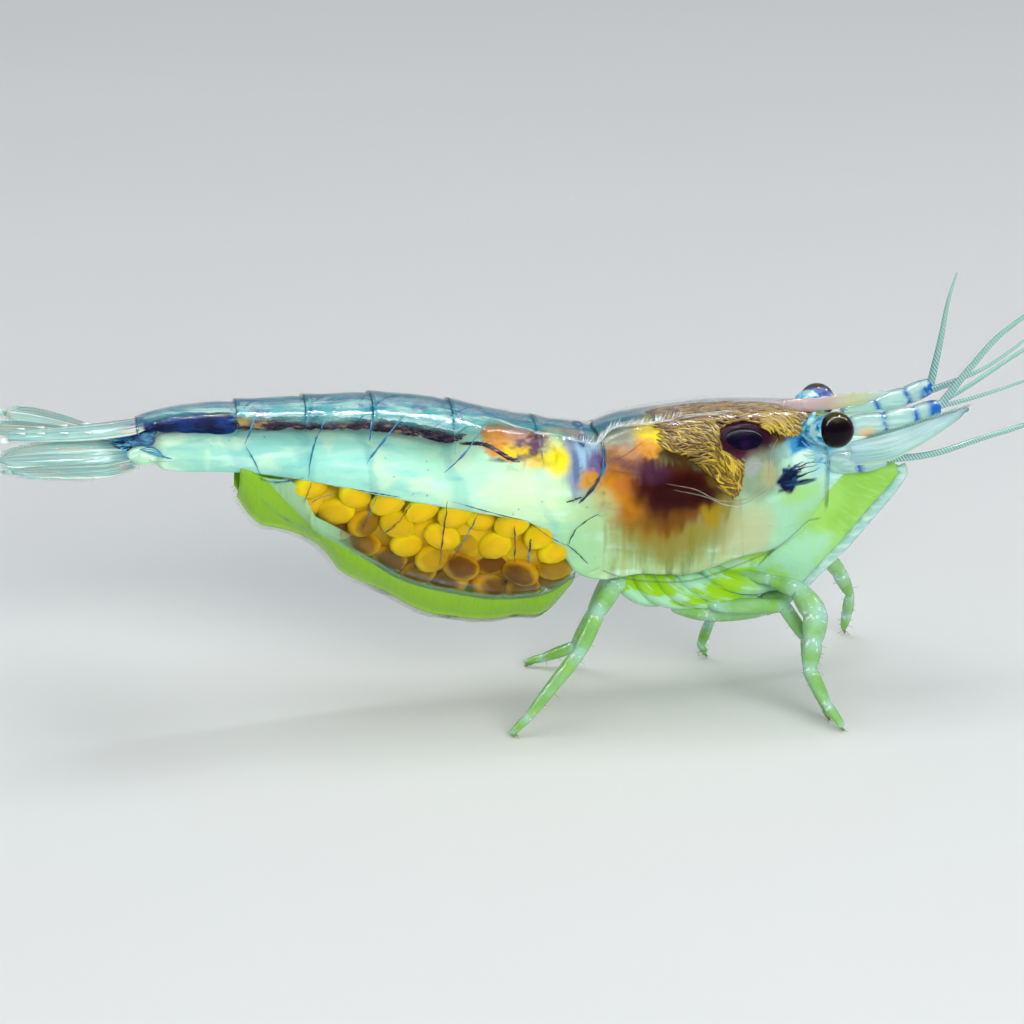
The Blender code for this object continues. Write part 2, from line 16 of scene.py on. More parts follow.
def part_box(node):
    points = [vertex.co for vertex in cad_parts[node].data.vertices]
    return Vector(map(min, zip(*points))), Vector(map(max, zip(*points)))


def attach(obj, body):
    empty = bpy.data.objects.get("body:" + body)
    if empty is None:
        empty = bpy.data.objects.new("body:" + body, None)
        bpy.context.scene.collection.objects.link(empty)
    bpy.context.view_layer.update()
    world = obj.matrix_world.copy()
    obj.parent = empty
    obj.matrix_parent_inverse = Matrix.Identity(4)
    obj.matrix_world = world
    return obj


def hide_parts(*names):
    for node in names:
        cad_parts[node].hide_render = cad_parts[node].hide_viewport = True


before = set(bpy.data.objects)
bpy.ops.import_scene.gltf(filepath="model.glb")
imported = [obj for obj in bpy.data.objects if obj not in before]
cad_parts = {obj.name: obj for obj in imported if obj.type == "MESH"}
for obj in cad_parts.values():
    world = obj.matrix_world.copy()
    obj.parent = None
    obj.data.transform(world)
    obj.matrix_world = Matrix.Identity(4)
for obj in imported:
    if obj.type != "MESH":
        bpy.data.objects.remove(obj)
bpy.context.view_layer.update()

# The camera stands on her right, a little above, and sees her side on.
# The left eye fixes the animal's own axes in the frame, and every other place follows from it.
MM = 0.001
EYE_CENTRE = Vector((7.36, 1.42, 8.97))
eye_low, eye_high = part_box("eye_left")
SLIDE = Vector(((eye_low.x + eye_high.x) / 2 - EYE_CENTRE.x * MM, 0, 0))
LOOK_AT = Vector((-2.505, 0, 6.272)) * MM + SLIDE
AZIMUTH, ELEVATION = math.radians(-8), math.radians(20)
SENSOR, LENS = 36, 150
VIEW_WIDTH = 31.74 * MM
level = math.cos(ELEVATION)
to_camera = Vector((math.sin(AZIMUTH) * level, -math.cos(AZIMUTH) * level, math.sin(ELEVATION)))
camera = bpy.data.objects.new("camera", bpy.data.cameras.new("camera"))
camera.data.sensor_width = SENSOR
camera.data.lens = LENS
camera.data.clip_start = 0.001
camera.location = LOOK_AT + to_camera * VIEW_WIDTH * LENS / SENSOR
camera.rotation_euler = to_camera.to_track_quat("Z", "Y").to_euler()
bpy.context.scene.collection.objects.link(camera)
bpy.context.scene.camera = camera
bpy.context.scene.cycles.transparent_max_bounces = 32  # her clear plates and blades lie over each other

# The flesh is one soft skin: the abdomen's pale muscle, the organs that show through the carapace
# and the underside that the legs grow from. It is translucent, and its colours are pigment in it.


def curve(*points):
    """A smooth curve through (x, value) points given from low to high x, level past its ends."""
    xs = [x for x, _ in points]

    def slope(i):
        low, high = max(i - 1, 0), min(i + 1, len(points) - 1)
        return (points[high][1] - points[low][1]) / (xs[high] - xs[low])

    def value(x):
        if x <= xs[0]:
            return points[0][1]
        if x >= xs[-1]:
            return points[-1][1]
        i = bisect.bisect_right(xs, x) - 1
        step = xs[i + 1] - xs[i]
        t = (x - xs[i]) / step
        along = points[i][1] * (1 + 2 * t) * (1 - t) ** 2 + points[i + 1][1] * t * t * (3 - 2 * t)
        return along + step * (slope(i) * t * (1 - t) ** 2 - slope(i + 1) * t * t * (1 - t))

    return value


def smooth(value, low=0.0, high=1.0):
    """0 below low, 1 above high and a soft step between."""
    t = min(1.0, max(0.0, (value - low) / (high - low)))
    return t * t * (3 - 2 * t)


class Trunk:
    """Sections across the body: an arched back over flanks that come down to an edge."""

    def __init__(self, top, waist_depth, width, edge, tuck):
        self.top, self.waist_depth, self.width = top, waist_depth, width
        self.edge, self.tuck = edge, tuck

    def place(self, x, t, side=-1, out=0.0):
        """A point on one flank, t from 0 on the back's middle line to 1 at the edge, moved outwards."""
        top, edge, width = self.top(x), self.edge(x), self.width(x)
        waist = max(top - self.waist_depth(x), edge + 0.05)
        if t < 0.5:
            turn = t * math.pi
            y, z = width * math.sin(turn), waist + (top - waist) * math.cos(turn)
            away = Vector((math.sin(turn) / width, math.cos(turn) / (top - waist))).normalized()
        else:
            down = 2 * t - 1
            y, z = width * (1 - self.tuck * down * down), waist + (edge - waist) * down
            away = Vector((1.0, 0.0))
        return Vector((x, side * (y + out * away.x), z + out * away.y))


def add_sheet(bm, across, along, place):
    """Adds a grid of faces. Its corner (s, t), each from 0 to 1, goes to place(s, t), with that as UV."""
    made = bmesh.ops.create_grid(bm, x_segments=across, y_segments=along, size=0.5, calc_uvs=True)
    for vert in made["verts"]:
        vert.co = place(vert.co.x + 0.5, vert.co.y + 0.5)
    return made["verts"]


def frames(points):
    """(side, up) across a path at each of its points, turned as little as the path allows."""
    side, found = None, []
    for i in range(len(points)):
        tangent = (points[min(i + 1, len(points) - 1)] - points[max(i - 1, 0)]).normalized()
        if side is None:
            side = tangent.cross(Vector((0.1, 0.2, 1)))
        side = (side - tangent * side.dot(tangent)).normalized()
        found.append((side, side.cross(tangent)))
    return found


def add_tube(bm, path, radii, sides=10, flat=1.0):
    """Adds a closed tube along a path. flat squeezes it along its second direction."""
    path = [Vector(p) for p in path]
    across = frames(path)
    path, across = [path[0], *path, path[-1]], [across[0], *across, across[-1]]
    radii = [0.0, *radii, 0.0]
    last = len(path) - 1

    def place(s, t):
        i = round(t * last)
        turn = 2 * math.pi * s
        side, up = across[i]
        return path[i] + radii[i] * (math.cos(turn) * side + math.sin(turn) * flat * up)

    return add_sheet(bm, sides, last, place)


def through(points, steps):
    """Points along a smooth curve through the given ones, this many for each stretch."""
    along = range(len(points))
    axes = [curve(*zip(along, values)) for values in zip(*points)]
    return [Vector([axis(k / steps) for axis in axes]) for k in range((len(points) - 1) * steps + 1)]


def add_hair(bm, root, tip, bow, radii, sides=3):
    """Adds a hair from root to tip. bow moves its middle."""
    add_tube(bm, [root, root.lerp(tip, 0.5) + Vector(bow), tip], radii, sides)


def swell(ends, more, steps):
    """Radii for a tube of this many steps, wider by more in its middle than at its ends."""
    return [ends + more * math.sin(math.pi * k / steps) for k in range(steps + 1)]


def new_bmesh():
    bm = bmesh.new()
    bm.loops.layers.uv.new("UVMap")
    return bm


def finished(name, bm, finish, slot, *stands_for, wall=0.0):
    """The piece as an object in the frame: welded, facing outwards, given its wall and riding on the body."""
    bmesh.ops.remove_doubles(bm, verts=bm.verts, dist=1e-4)
    bmesh.ops.recalc_face_normals(bm, faces=bm.faces)
    if wall:
        bmesh.ops.solidify(bm, geom=bm.faces[:], thickness=wall)
    bmesh.ops.scale(bm, vec=(MM, MM, MM), verts=bm.verts)
    bmesh.ops.translate(bm, vec=SLIDE, verts=bm.verts)
    mesh = bpy.data.meshes.new(name)
    bm.to_mesh(mesh)
    bm.free()
    mesh.shade_smooth()
    mesh.materials.append(finish.material)
    obj = bpy.data.objects.new(name, mesh)
    bpy.context.scene.collection.objects.link(obj)
    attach(obj, "root")
    if stands_for:
        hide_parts(*stands_for)
    return obj


class Value:
    """A shader socket that can stand in sums: each operator adds the Math node for it."""

    def __init__(self, finish, socket):
        self.finish, self.socket = finish, socket

    def maths(self, operation, first, second=0.0):
        return self.finish.node("ShaderNodeMath", {"operation": operation}, {0: first, 1: second})

    def __add__(self, other):
        return self.maths("ADD", self, other)

    def __radd__(self, other):
        return self.maths("ADD", other, self)

    def __sub__(self, other):
        return self.maths("SUBTRACT", self, other)

    def __rsub__(self, other):
        return self.maths("SUBTRACT", other, self)

    def __mul__(self, other):
        return self.maths("MULTIPLY", self, other)

    def __rmul__(self, other):
        return self.maths("MULTIPLY", other, self)

    def __pow__(self, other):
        return self.maths("POWER", self, other)

    def __abs__(self):
        return self.maths("ABSOLUTE", self)

    def most(self, other):
        return self.maths("MAXIMUM", self, other)


class Finish:
    """A material, whose nodes all come from node(). place, with its x, y and z, is the point in millimetres
    on her own axes, and uv, with its s and t, is the point on the piece's own sheet."""

    def __init__(self, name):
        self.material = bpy.data.materials.new(name)
        self.material.use_nodes = True
        self.tree = self.material.node_tree
        self.tree.nodes.clear()
        there = self.node("ShaderNodeTexCoord", output="Object")
        self.place = self.vector("MULTIPLY_ADD", there, (1 / MM,) * 3, -SLIDE / MM)
        self.uv = self.node("ShaderNodeTexCoord", output="UV")
        self.x, self.y, self.z = self.axes(self.place)
        self.s, self.t, _ = self.axes(self.uv)

    def node(self, kind, settings=None, sockets=None, output=0):
        """Adds a node, with its settings first and then its sockets, and returns one of its outputs."""
        made = self.tree.nodes.new(kind)
        for name, value in (settings or {}).items():
            if name == "stops":
                for at, _ in value[1:-1]:
                    made.color_ramp.elements.new(at)
                for element, (at, colour) in zip(made.color_ramp.elements, value):
                    element.position, element.color = at, (*colour, 1.0)
            else:
                setattr(made, name, value)
        for name, value in (sockets or {}).items():
            if isinstance(value, Value):
                self.tree.links.new(value.socket, made.inputs[name])
            elif isinstance(value, tuple) and made.inputs[name].type == "RGBA":
                made.inputs[name].default_value = (*value, 1.0)
            else:
                made.inputs[name].default_value = value
        return Value(self, made.outputs[output]) if len(made.outputs) else made

    def vector(self, operation, *values, output=0):
        return self.node("ShaderNodeVectorMath", {"operation": operation}, dict(enumerate(values)), output)

    def axes(self, where):
        return [self.node("ShaderNodeSeparateXYZ", None, {0: where}, i) for i in range(3)]

    def attribute(self, name):
        return self.node("ShaderNodeAttribute", {"attribute_name": name}, output="Fac")

    def step(self, value, low, high):
        """0 where value is low, 1 where it is high and a soft step between. low may be above high."""
        sockets = {"Value": value, "From Min": low, "From Max": high}
        return self.node("ShaderNodeMapRange", {"interpolation_type": "SMOOTHSTEP"}, sockets)

    def noise(self, scale, detail=2.0, where=None, output=0, stretch=(1, 1, 1), distortion=0.0):
        """Soft noise with this many waves to the millimetre."""
        where = self.vector("MULTIPLY", where or self.place, tuple(scale * s for s in stretch))
        sockets = {"Vector": where, "Scale": 1.0, "Detail": detail, "Distortion": distortion}
        return self.node("ShaderNodeTexNoise", None, sockets, output)

    def mix(self, mask, first, second):
        return self.node("ShaderNodeMix", {"data_type": "RGBA"}, {0: mask, 6: first, 7: second}, 2)

    def layered(self, colour, *layers):
        """The colour with others laid over it in turn, each given as its mask and itself."""
        for mask, over in layers:
            colour = self.mix(mask, colour, over)
        return colour

    def ramp(self, value, *stops):
        """Colours that follow a value. stops are given from low to high, each as the value and the colour."""
        return self.node("ShaderNodeValToRGB", {"stops": stops}, {0: value})

    def wobbled(self, amount, scale, stretch=(1, 1, 1)):
        """The place moved about by noise, by amount along x, y and z, which frays what is drawn there."""
        shift = self.vector("SUBTRACT", self.noise(scale, 3.0, output=1, stretch=stretch), (0.5, 0.5, 0.5))
        return self.vector("MULTIPLY_ADD", shift, amount, self.place)

    def oval(self, centre, reach, soft=0.4, where=None):
        """1 inside an oval seen from the side and 0 outside it. centre and reach are along x and z."""
        scales = (1 / reach[0], 0, 1 / reach[1])
        shift = (-centre[0] / reach[0], 0, -centre[1] / reach[1])
        apart = self.vector("MULTIPLY_ADD", where or self.place, scales, shift)
        return self.step(self.vector("LENGTH", apart, output=1), 1 + soft, 1 - soft)

    def surface(self, base, roughness=0.3, height=None, depth=0.0, alpha=None, shine=None, **constants):
        """The Principled shader and the output. Height is relief of the given depth in millimetres, and
        shine is the roughness of a clear film's mirrored light, which its alpha mustn't thin."""
        sockets = {"Base Color": base, "Roughness": roughness}
        if alpha is not None:
            sockets["Alpha"] = alpha
        if height is not None:
            relief = {"Height": height, "Distance": depth * MM, "Strength": 1.0}
            sockets["Normal"] = self.node("ShaderNodeBump", None, relief)
        sockets.update({name.replace("_", " "): value for name, value in constants.items()})
        shader = self.node("ShaderNodeBsdfPrincipled", None, sockets)
        if shine is not None:
            facing = self.node("ShaderNodeLayerWeight", None, {"Blend": 0.5}, "Facing")
            mirror = {"Roughness": shine, **{name: sockets[name] for name in sockets if name == "Normal"}}
            mirror = self.node("ShaderNodeBsdfGlossy", None, mirror)
            share = 0.003 + 0.6 * facing**5  # how much the film mirrors, which is most at a grazing angle
            shader = self.node("ShaderNodeMixShader", None, {0: share, 1: shader, 2: mirror})
        self.node("ShaderNodeOutputMaterial", None, {"Surface": shader})
        return self


# The muscle stops below the gut, so the abdomen's back is clear. Under the carapace the organs fill it.
FLESH = Trunk(
    top=curve(
        (-14.3, 9.0), (-13.6, 9.33), (-12.3, 9.38), (-11.1, 9.33), (-9, 9.22), (-7.45, 9.13),
        (-5.9, 8.88), (-4.8, 8.6), (-4.0, 8.85), (-3.3, 9.25), (-2.4, 9.2), (-1.2, 8.97), (-0.2, 8.8),
        (0.5, 8.98), (1.4, 9.15), (2.5, 9.27), (3.8, 9.36), (5, 9.33), (6, 9.2), (6.8, 9.08),
        (8.0, 9.0), (9.6, 9.1),
    ),
    waist_depth=curve(
        (-14, 0.45), (-12, 0.5), (-9, 0.6), (-6, 0.75), (-4, 1.1), (-3, 1.5),
        (0, 1.8), (2.5, 2.1), (5, 2.0), (6.6, 1.5), (8.6, 0.9),
    ),
    width=curve(
        (-14.3, 0.55), (-13.6, 0.83), (-12.5, 1.03), (-10.8, 1.18), (-8.3, 1.53), (-5.8, 1.82),
        (-3, 1.92), (0, 1.78), (1.2, 1.95), (2.6, 2.04), (4.2, 1.94), (5.6, 1.7), (6.6, 1.32),
        (7.3, 1.08), (8.3, 0.95), (9.6, 0.5),
    ),
    edge=curve(
        (-14.3, 8.45), (-13, 8.4), (-10.8, 8.3), (-8.8, 8.0), (-6, 7.35), (-3, 6.7), (-1.9, 6.3),
        (-1.3, 5.6), (-0.75, 4.75), (0, 4.45), (0.6, 4.5), (1.2, 4.62), (2.8, 4.56), (4.4, 5.0),
        (5.7, 5.2), (6.6, 5.7), (7.3, 6.5), (8.3, 7.75), (9.6, 8.6),
    ),
    tuck=0.12,
)
FLESH_REAR, FLESH_FRONT = -13.75, 9.6
FLANK_SHARE = 0.86  # of half a section, the rest being its underside
FLESH_GRAIN = 0.065  # size of the cells that melt the skin's parts into one


def flesh_place(s, t):
    """s runs once round a section from the middle of the underside, and t from the tail to the head."""
    x = FLESH_REAR + (FLESH_FRONT - FLESH_REAR) * t
    closing = math.sqrt(smooth(min(t, 1 - t), 0, 0.022))
    side = -1 if s < 0.5 else 1
    down = abs(2 * s - 1) / FLANK_SHARE
    if down <= 1:
        point = FLESH.place(x, down, side)
    else:
        lower_edge = FLESH.place(x, 1, side)
        inwards = (down - 1) / (1 / FLANK_SHARE - 1)
        point = Vector((x, lower_edge.y * (1 - inwards), lower_edge.z - 0.12 * inwards))
    middle = Vector((x, 0, (FLESH.top(x) + FLESH.edge(x)) / 2))
    return middle.lerp(point, closing)


bm = new_bmesh()
add_sheet(bm, 96, 300, flesh_place)
belly_path = through(
    [(0.75, 0, 4.85), (1.6, 0, 4.5), (3, 0, 4.3), (4.6, 0, 4.4), (6, 0, 4.8), (6.9, 0, 5.5)], 6
)
add_tube(bm, belly_path, swell(0.6, 0.52, 30), 24)
jaw_path = through([(6.5, 0, 5.4), (7.0, 0, 6.2), (7.5, 0, 7.0), (7.8, 0, 7.7)], 4)
add_tube(bm, jaw_path, swell(0.55, 0.1, 12), 20)
bmesh.ops.remove_doubles(bm, verts=bm.verts, dist=1e-4)
bmesh.ops.recalc_face_normals(bm, faces=bm.faces)
rough = bpy.data.objects.new("rough", bpy.data.meshes.new("rough"))
bm.to_mesh(rough.data)
bm.free()
bpy.context.scene.collection.objects.link(rough)
melt = rough.modifiers.new("melt", "REMESH")
melt.mode = "VOXEL"
melt.voxel_size = FLESH_GRAIN
bpy.context.view_layer.update()
bm = bmesh.new()
bm.from_object(rough, bpy.context.evaluated_depsgraph_get())
bpy.data.objects.remove(rough)
for _ in range(4):
    bmesh.ops.smooth_vert(bm, verts=bm.verts, factor=0.5, use_axis_x=True, use_axis_y=True, use_axis_z=True)

flesh = Finish("flesh")
frayed = flesh.wobbled((0.35, 0.2, 0.35), 1.6)
ragged = flesh.wobbled((0.4, 0.2, 0.4), 4.5)
combed_down = flesh.wobbled((0.25, 0.0, 1.3), 1.0, stretch=(3.4, 0.4, 0.5))
combed_along = flesh.wobbled((1.2, 0.0, 0.25), 1.0, stretch=(0.5, 1, 4.5))
colour = flesh.ramp(
    flesh.x * (1 / 24) + 15 / 24,  # 0 at x = -15 and 1 at x = 9
    (0.0, (0.36, 0.68, 0.50)), (0.08, (0.38, 0.72, 0.56)), (0.2, (0.32, 0.74, 0.64)),
    (0.34, (0.42, 0.88, 0.72)), (0.46, (0.52, 0.93, 0.66)), (0.56, (0.52, 0.86, 0.50)),
    (0.64, (0.42, 0.62, 0.30)), (0.76, (0.36, 0.52, 0.28)), (0.88, (0.40, 0.72, 0.56)),
    (1.0, (0.50, 0.80, 0.72)),
)
fibres = flesh.noise(1.0, 4.0, stretch=(0.7, 2, 3.0))
clouds = flesh.noise(0.8, 3.0, distortion=0.6)
tail_side = flesh.step(flesh.x, 1.2, -0.4)
colour = flesh.layered(
    colour,
    (flesh.step(fibres, 0.5, 0.7) * 0.55, (0.66, 0.96, 0.84)),
    (flesh.step(fibres, 0.47, 0.3) * 0.5 * tail_side, (0.22, 0.62, 0.60)),
    (flesh.step(clouds, 0.5, 0.68) * 0.6 * tail_side, (0.72, 0.95, 0.66)),
)
for joint in (-1.95, -4.5, -6.95, -8.9, -10.9):
    across = abs(flesh.x - joint + (flesh.z - 8.2) * 0.22 + (clouds - 0.5) * 1.2)
    colour = flesh.mix(flesh.step(across, 0.3, 0.05) * 0.35, colour, (0.16, 0.52, 0.54))
gills = flesh.noise(1.0, 3.0, where=combed_down, stretch=(2.6, 0.5, 0.3))
chest = flesh.oval((3.0, 6.1), (3.3, 2.6), 0.25, frayed)
colour = flesh.layered(
    colour,
    (chest * flesh.step(gills, 0.46, 0.66) * 0.8, (0.42, 0.52, 0.20)),
    (chest * flesh.step(gills, 0.46, 0.3) * 0.8, (0.14, 0.20, 0.03)),
)
# Each line: centre, reach, softness, strength, colour, and how its edge is frayed.
PIGMENT = (
    ((6.1, 6.1), (1.6, 1.4), 0.5, 0.8, (0.33, 0.66, 0.42), frayed),
    ((6.3, 7.0), (0.7, 0.35), 0.5, 0.7, (0.34, 0.66, 0.16), frayed),
    ((7.3, 5.9), (0.9, 0.7), 0.5, 0.8, (0.30, 0.62, 0.14), combed_along),
    ((2.6, 3.6), (2.6, 0.5), 0.4, 0.85, (0.24, 0.50, 0.03), combed_along),
    ((5.0, 4.0), (2.0, 0.6), 0.5, 0.85, (0.36, 0.70, 0.44), combed_along),
    ((4.2, 4.3), (0.9, 0.2), 0.3, 0.95, (0.28, 0.62, 0.01), combed_along),
    ((5.5, 4.75), (0.9, 0.22), 0.4, 0.85, (0.32, 0.66, 0.03), combed_along),
    ((1.5, 3.9), (0.6, 0.3), 0.4, 0.8, (0.16, 0.34, 0.16), ragged),
    ((4.6, 5.9), (0.8, 0.9), 0.5, 0.8, (0.50, 0.52, 0.28), combed_down),
    ((2.0, 5.6), (1.4, 0.6), 0.5, 0.6, (0.20, 0.30, 0.06), combed_down),
    ((2.2, 6.5), (1.9, 1.3), 0.35, 0.8, (0.26, 0.20, 0.015), combed_down),
    ((1.6, 6.8), (1.3, 0.8), 0.35, 0.85, (0.26, 0.12, 0.005), combed_down),
    ((2.3, 6.9), (1.2, 0.7), 0.35, 0.9, (0.15, 0.05, 0.003), combed_down),
    ((3.4, 6.75), (0.35, 0.55), 0.4, 0.9, (0.36, 0.24, 0.006), combed_down),
    ((3.9, 7.0), (0.3, 0.5), 0.4, 0.8, (0.24, 0.20, 0.02), combed_down),
    ((0.85, 7.95), (0.95, 1.15), 0.4, 0.95, (0.44, 0.20, 0.07), frayed),
    ((0.6, 7.25), (0.85, 0.75), 0.4, 1.0, (0.46, 0.17, 0.004), combed_down),
    ((0.25, 7.35), (0.45, 0.45), 0.4, 0.8, (0.62, 0.26, 0.01), ragged),
    ((0.9, 7.6), (0.5, 0.3), 0.4, 0.8, (0.50, 0.16, 0.03), ragged),
    ((1.15, 8.25), (0.65, 0.35), 0.35, 0.9, (0.24, 0.10, 0.08), combed_along),
    ((1.0, 8.62), (0.6, 0.24), 0.35, 0.85, (0.58, 0.30, 0.14), frayed),
    ((0.6, 8.88), (0.6, 0.25), 0.4, 0.8, (0.36, 0.46, 0.34), frayed),
    ((-0.55, 8.2), (0.6, 0.95), 0.3, 0.95, (0.24, 0.30, 0.46), combed_down),
    ((-0.35, 8.55), (0.42, 0.5), 0.4, 0.9, (0.36, 0.60, 0.80), combed_down),
    ((-0.1, 8.1), (0.25, 0.4), 0.4, 0.9, (0.14, 0.09, 0.26), combed_down),
    ((-0.75, 8.3), (0.12, 0.5), 0.5, 0.8, (0.10, 0.16, 0.34), combed_down),
    ((-0.33, 7.72), (0.34, 0.3), 0.4, 0.95, (0.66, 0.30, 0.01), ragged),
    ((-2.5, 8.95), (1.0, 0.42), 0.3, 0.95, (0.60, 0.28, 0.12), ragged),
    ((-3.15, 9.0), (0.4, 0.32), 0.3, 0.9, (0.74, 0.30, 0.03), ragged),
    ((-2.05, 8.85), (0.6, 0.22), 0.3, 0.95, (0.12, 0.05, 0.12), combed_along),
    ((-2.3, 8.6), (0.9, 0.1), 0.4, 0.95, (0.05, 0.03, 0.10), combed_along),
    ((-2.2, 9.12), (0.3, 0.14), 0.4, 0.9, (0.70, 0.40, 0.30), ragged),
    ((-2.8, 8.72), (0.3, 0.15), 0.6, 1.0, (0.88, 0.66, 0.02), ragged),
    ((-2.35, 8.72), (0.2, 0.12), 0.6, 1.0, (0.84, 0.58, 0.02), ragged),
    ((-1.85, 8.42), (0.5, 0.18), 0.6, 1.0, (0.86, 0.60, 0.04), ragged),
    ((-1.28, 8.35), (0.4, 0.4), 0.5, 1.0, (0.96, 0.80, 0.015), frayed),
    ((-2.4, 7.5), (1.1, 0.8), 0.6, 0.6, (0.78, 0.95, 0.60), frayed),
    ((-0.6, 5.4), (0.7, 1.2), 0.5, 0.7, (0.32, 0.64, 0.34), frayed),
    ((-0.2, 6.9), (0.7, 0.6), 0.5, 0.6, (0.42, 0.66, 0.34), frayed),
    ((2.4, 7.55), (1.45, 0.85), 0.25, 1.0, (0.055, 0.006, 0.003), combed_down),
    ((2.5, 7.42), (1.15, 0.5), 0.3, 1.0, (0.028, 0.0008, 0.0005), frayed),
    ((1.55, 8.0), (0.5, 0.3), 0.6, 0.6, (0.09, 0.03, 0.08), frayed),
    ((3.5, 8.75), (2.1, 0.75), 0.25, 1.0, (0.06, 0.03, 0.006), frayed),
    ((3.75, 7.95), (0.55, 0.65), 0.3, 1.0, (0.10, 0.05, 0.006), ragged),
    ((5.75, 8.95), (0.75, 0.42), 0.3, 1.0, (0.10, 0.055, 0.006), frayed),
    ((1.7, 8.98), (0.48, 0.32), 0.5, 1.0, (0.98, 0.78, 0.015), frayed),
    ((1.5, 8.62), (0.35, 0.25), 0.4, 0.9, (0.82, 0.36, 0.05), ragged),
    ((4.55, 8.85), (0.95, 0.5), 0.25, 1.0, (0.028, 0.003, 0.014), frayed),
    ((4.75, 8.3), (0.6, 0.25), 0.4, 0.9, (0.08, 0.012, 0.04), frayed),
    ((4.95, 7.7), (0.7, 0.75), 0.3, 0.85, (0.22, 0.30, 0.18), frayed),
    ((4.7, 8.0), (0.3, 0.25), 0.5, 0.7, (0.36, 0.38, 0.40), frayed),
    ((5.25, 7.75), (0.25, 0.45), 0.4, 0.7, (0.42, 0.40, 0.20), combed_down),
    ((5.55, 8.3), (0.3, 0.25), 0.5, 0.7, (0.16, 0.26, 0.24), ragged),
    ((6.35, 8.5), (0.5, 0.32), 0.4, 0.95, (0.02, 0.24, 0.52), ragged),
    ((6.4, 8.55), (0.22, 0.16), 0.4, 0.95, (0.002, 0.05, 0.20), ragged),
    ((6.9, 8.15), (0.6, 0.22), 0.4, 0.85, (0.16, 0.54, 0.74), combed_along),
    ((6.4, 8.0), (0.42, 0.28), 0.25, 1.0, (0.60, 0.84, 0.70), frayed),
    ((6.95, 7.6), (0.45, 0.35), 0.4, 0.7, (0.52, 0.76, 0.56), frayed),
    ((7.3, 7.75), (0.6, 0.4), 0.5, 0.7, (0.28, 0.64, 0.76), combed_down),
    ((7.7, 7.6), (0.5, 0.2), 0.4, 0.85, (0.12, 0.48, 0.70), ragged),
    ((5.86, 7.45), (0.32, 0.42), 0.25, 1.0, (0.001, 0.005, 0.05), ragged),
    ((6.35, 7.32), (0.4, 0.1), 0.35, 0.9, (0.01, 0.05, 0.14), combed_along),
    ((6.3, 9.05), (0.6, 0.18), 0.4, 0.9, (0.62, 0.46, 0.50), frayed),
    ((8.45, 8.65), (0.35, 0.2), 0.3, 0.9, (0.84, 0.56, 0.26), ragged),
    ((7.5, 9.0), (0.5, 0.15), 0.4, 0.9, (0.36, 0.60, 0.03), ragged),
)
for centre, reach, soft, strength, tint, edge in PIGMENT:
    colour = flesh.mix(flesh.oval(centre, reach, soft, edge) * strength, colour, tint)
shadowed = flesh.vector("MULTIPLY", colour, (0.55, 0.5, 0.5))
organs = flesh.oval((1.6, 8.0), (2.4, 1.5), 0.2).most(flesh.oval((-2.2, 8.8), (1.4, 0.6), 0.2))
patches = flesh.step(flesh.noise(2.2, 4.0, distortion=0.6), 0.56, 0.34)
colour = flesh.mix(organs * patches * 0.6, colour, shadowed)
fine = flesh.noise(1.0, 4.0, stretch=(1.0, 8, 10))
colour = flesh.layered(
    colour,
    (flesh.step(flesh.x, 6.9, 7.8) * flesh.step(fine, 0.5, 0.66) * 0.6, (0.80, 0.95, 0.90)),
    (flesh.step(flesh.x, 6.9, 7.8) * flesh.step(fine, 0.46, 0.34) * 0.6, (0.16, 0.50, 0.54)),
)
flesh.surface(
    colour,
    roughness=0.28,
    height=fibres + flesh.noise(6.0, 3.0) * 0.3,
    depth=0.05,
    Subsurface_Weight=0.15,
    Subsurface_Radius=(0.5, 0.6, 0.4),
    Subsurface_Scale=0.15 * MM,
    Specular_IOR_Level=0.05,
)
finished("flesh", bm, flesh, "flesh", "leg_base", "mouth", "head")

# The gut is a thin cord of dark food above the muscle, mottled and stringy. It ends in a wide
# dark-blue hindgut in the sixth segment, which turns down into the root of the tail fan.
GUT = through(
    [
        (-11.2, 0, 9.62), (-10.2, 0, 9.55), (-9.0, 0, 9.5), (-7.45, 0, 9.42), (-5.9, 0, 9.2),
        (-4.8, 0, 8.92), (-4.0, 0, 8.71), (-3.3, 0, 8.47),
    ],
    16,
)
GUT_RADIUS = 0.15
FOOD_STRINGS, FRONT_STRINGS = 150, 90  # round the gut, and over the muscle at its front end
random.seed(5)
bm = new_bmesh()
add_tube(bm, GUT, [GUT_RADIUS + 0.09 * noise.noise(Vector((3 * p.x, 0, 0))) for p in GUT], 14)
for strand in range(FOOD_STRINGS):
    start = random.uniform(-11.1, -3.9)
    turn, reach = random.uniform(0, 2 * math.pi), random.uniform(0.25, 0.8)
    path = []
    for k in range(5):
        x = start + reach * k / 4
        near = min(GUT, key=lambda p: abs(p.x - x))
        lift = 0.14 + 0.05 * math.sin(math.pi * k / 4)
        path.append(Vector((x, lift * math.cos(turn + 0.3 * k), near.z + lift * math.sin(turn + 0.3 * k))))
    add_tube(bm, path, [0.012, 0.03, 0.04, 0.03, 0.012], 5)
for strand in range(FRONT_STRINGS):
    start, reach, low = random.uniform(-4.2, -3.0), random.uniform(0.25, 0.6), random.uniform(-0.025, 0.025)
    for side in (-1, 1):
        path = []
        for k in range(5):
            x = start + reach * k / 4
            t = 0.03 + abs(low) + 0.27 * smooth(x, -4.6, -2.6) + 0.006 * (k % 2)
            path.append(FLESH.place(x, t, side, 0.01))
        add_tube(bm, path, [0.01, 0.025, 0.035, 0.025, 0.01], 5, flat=0.7)
gut = Finish("gut")
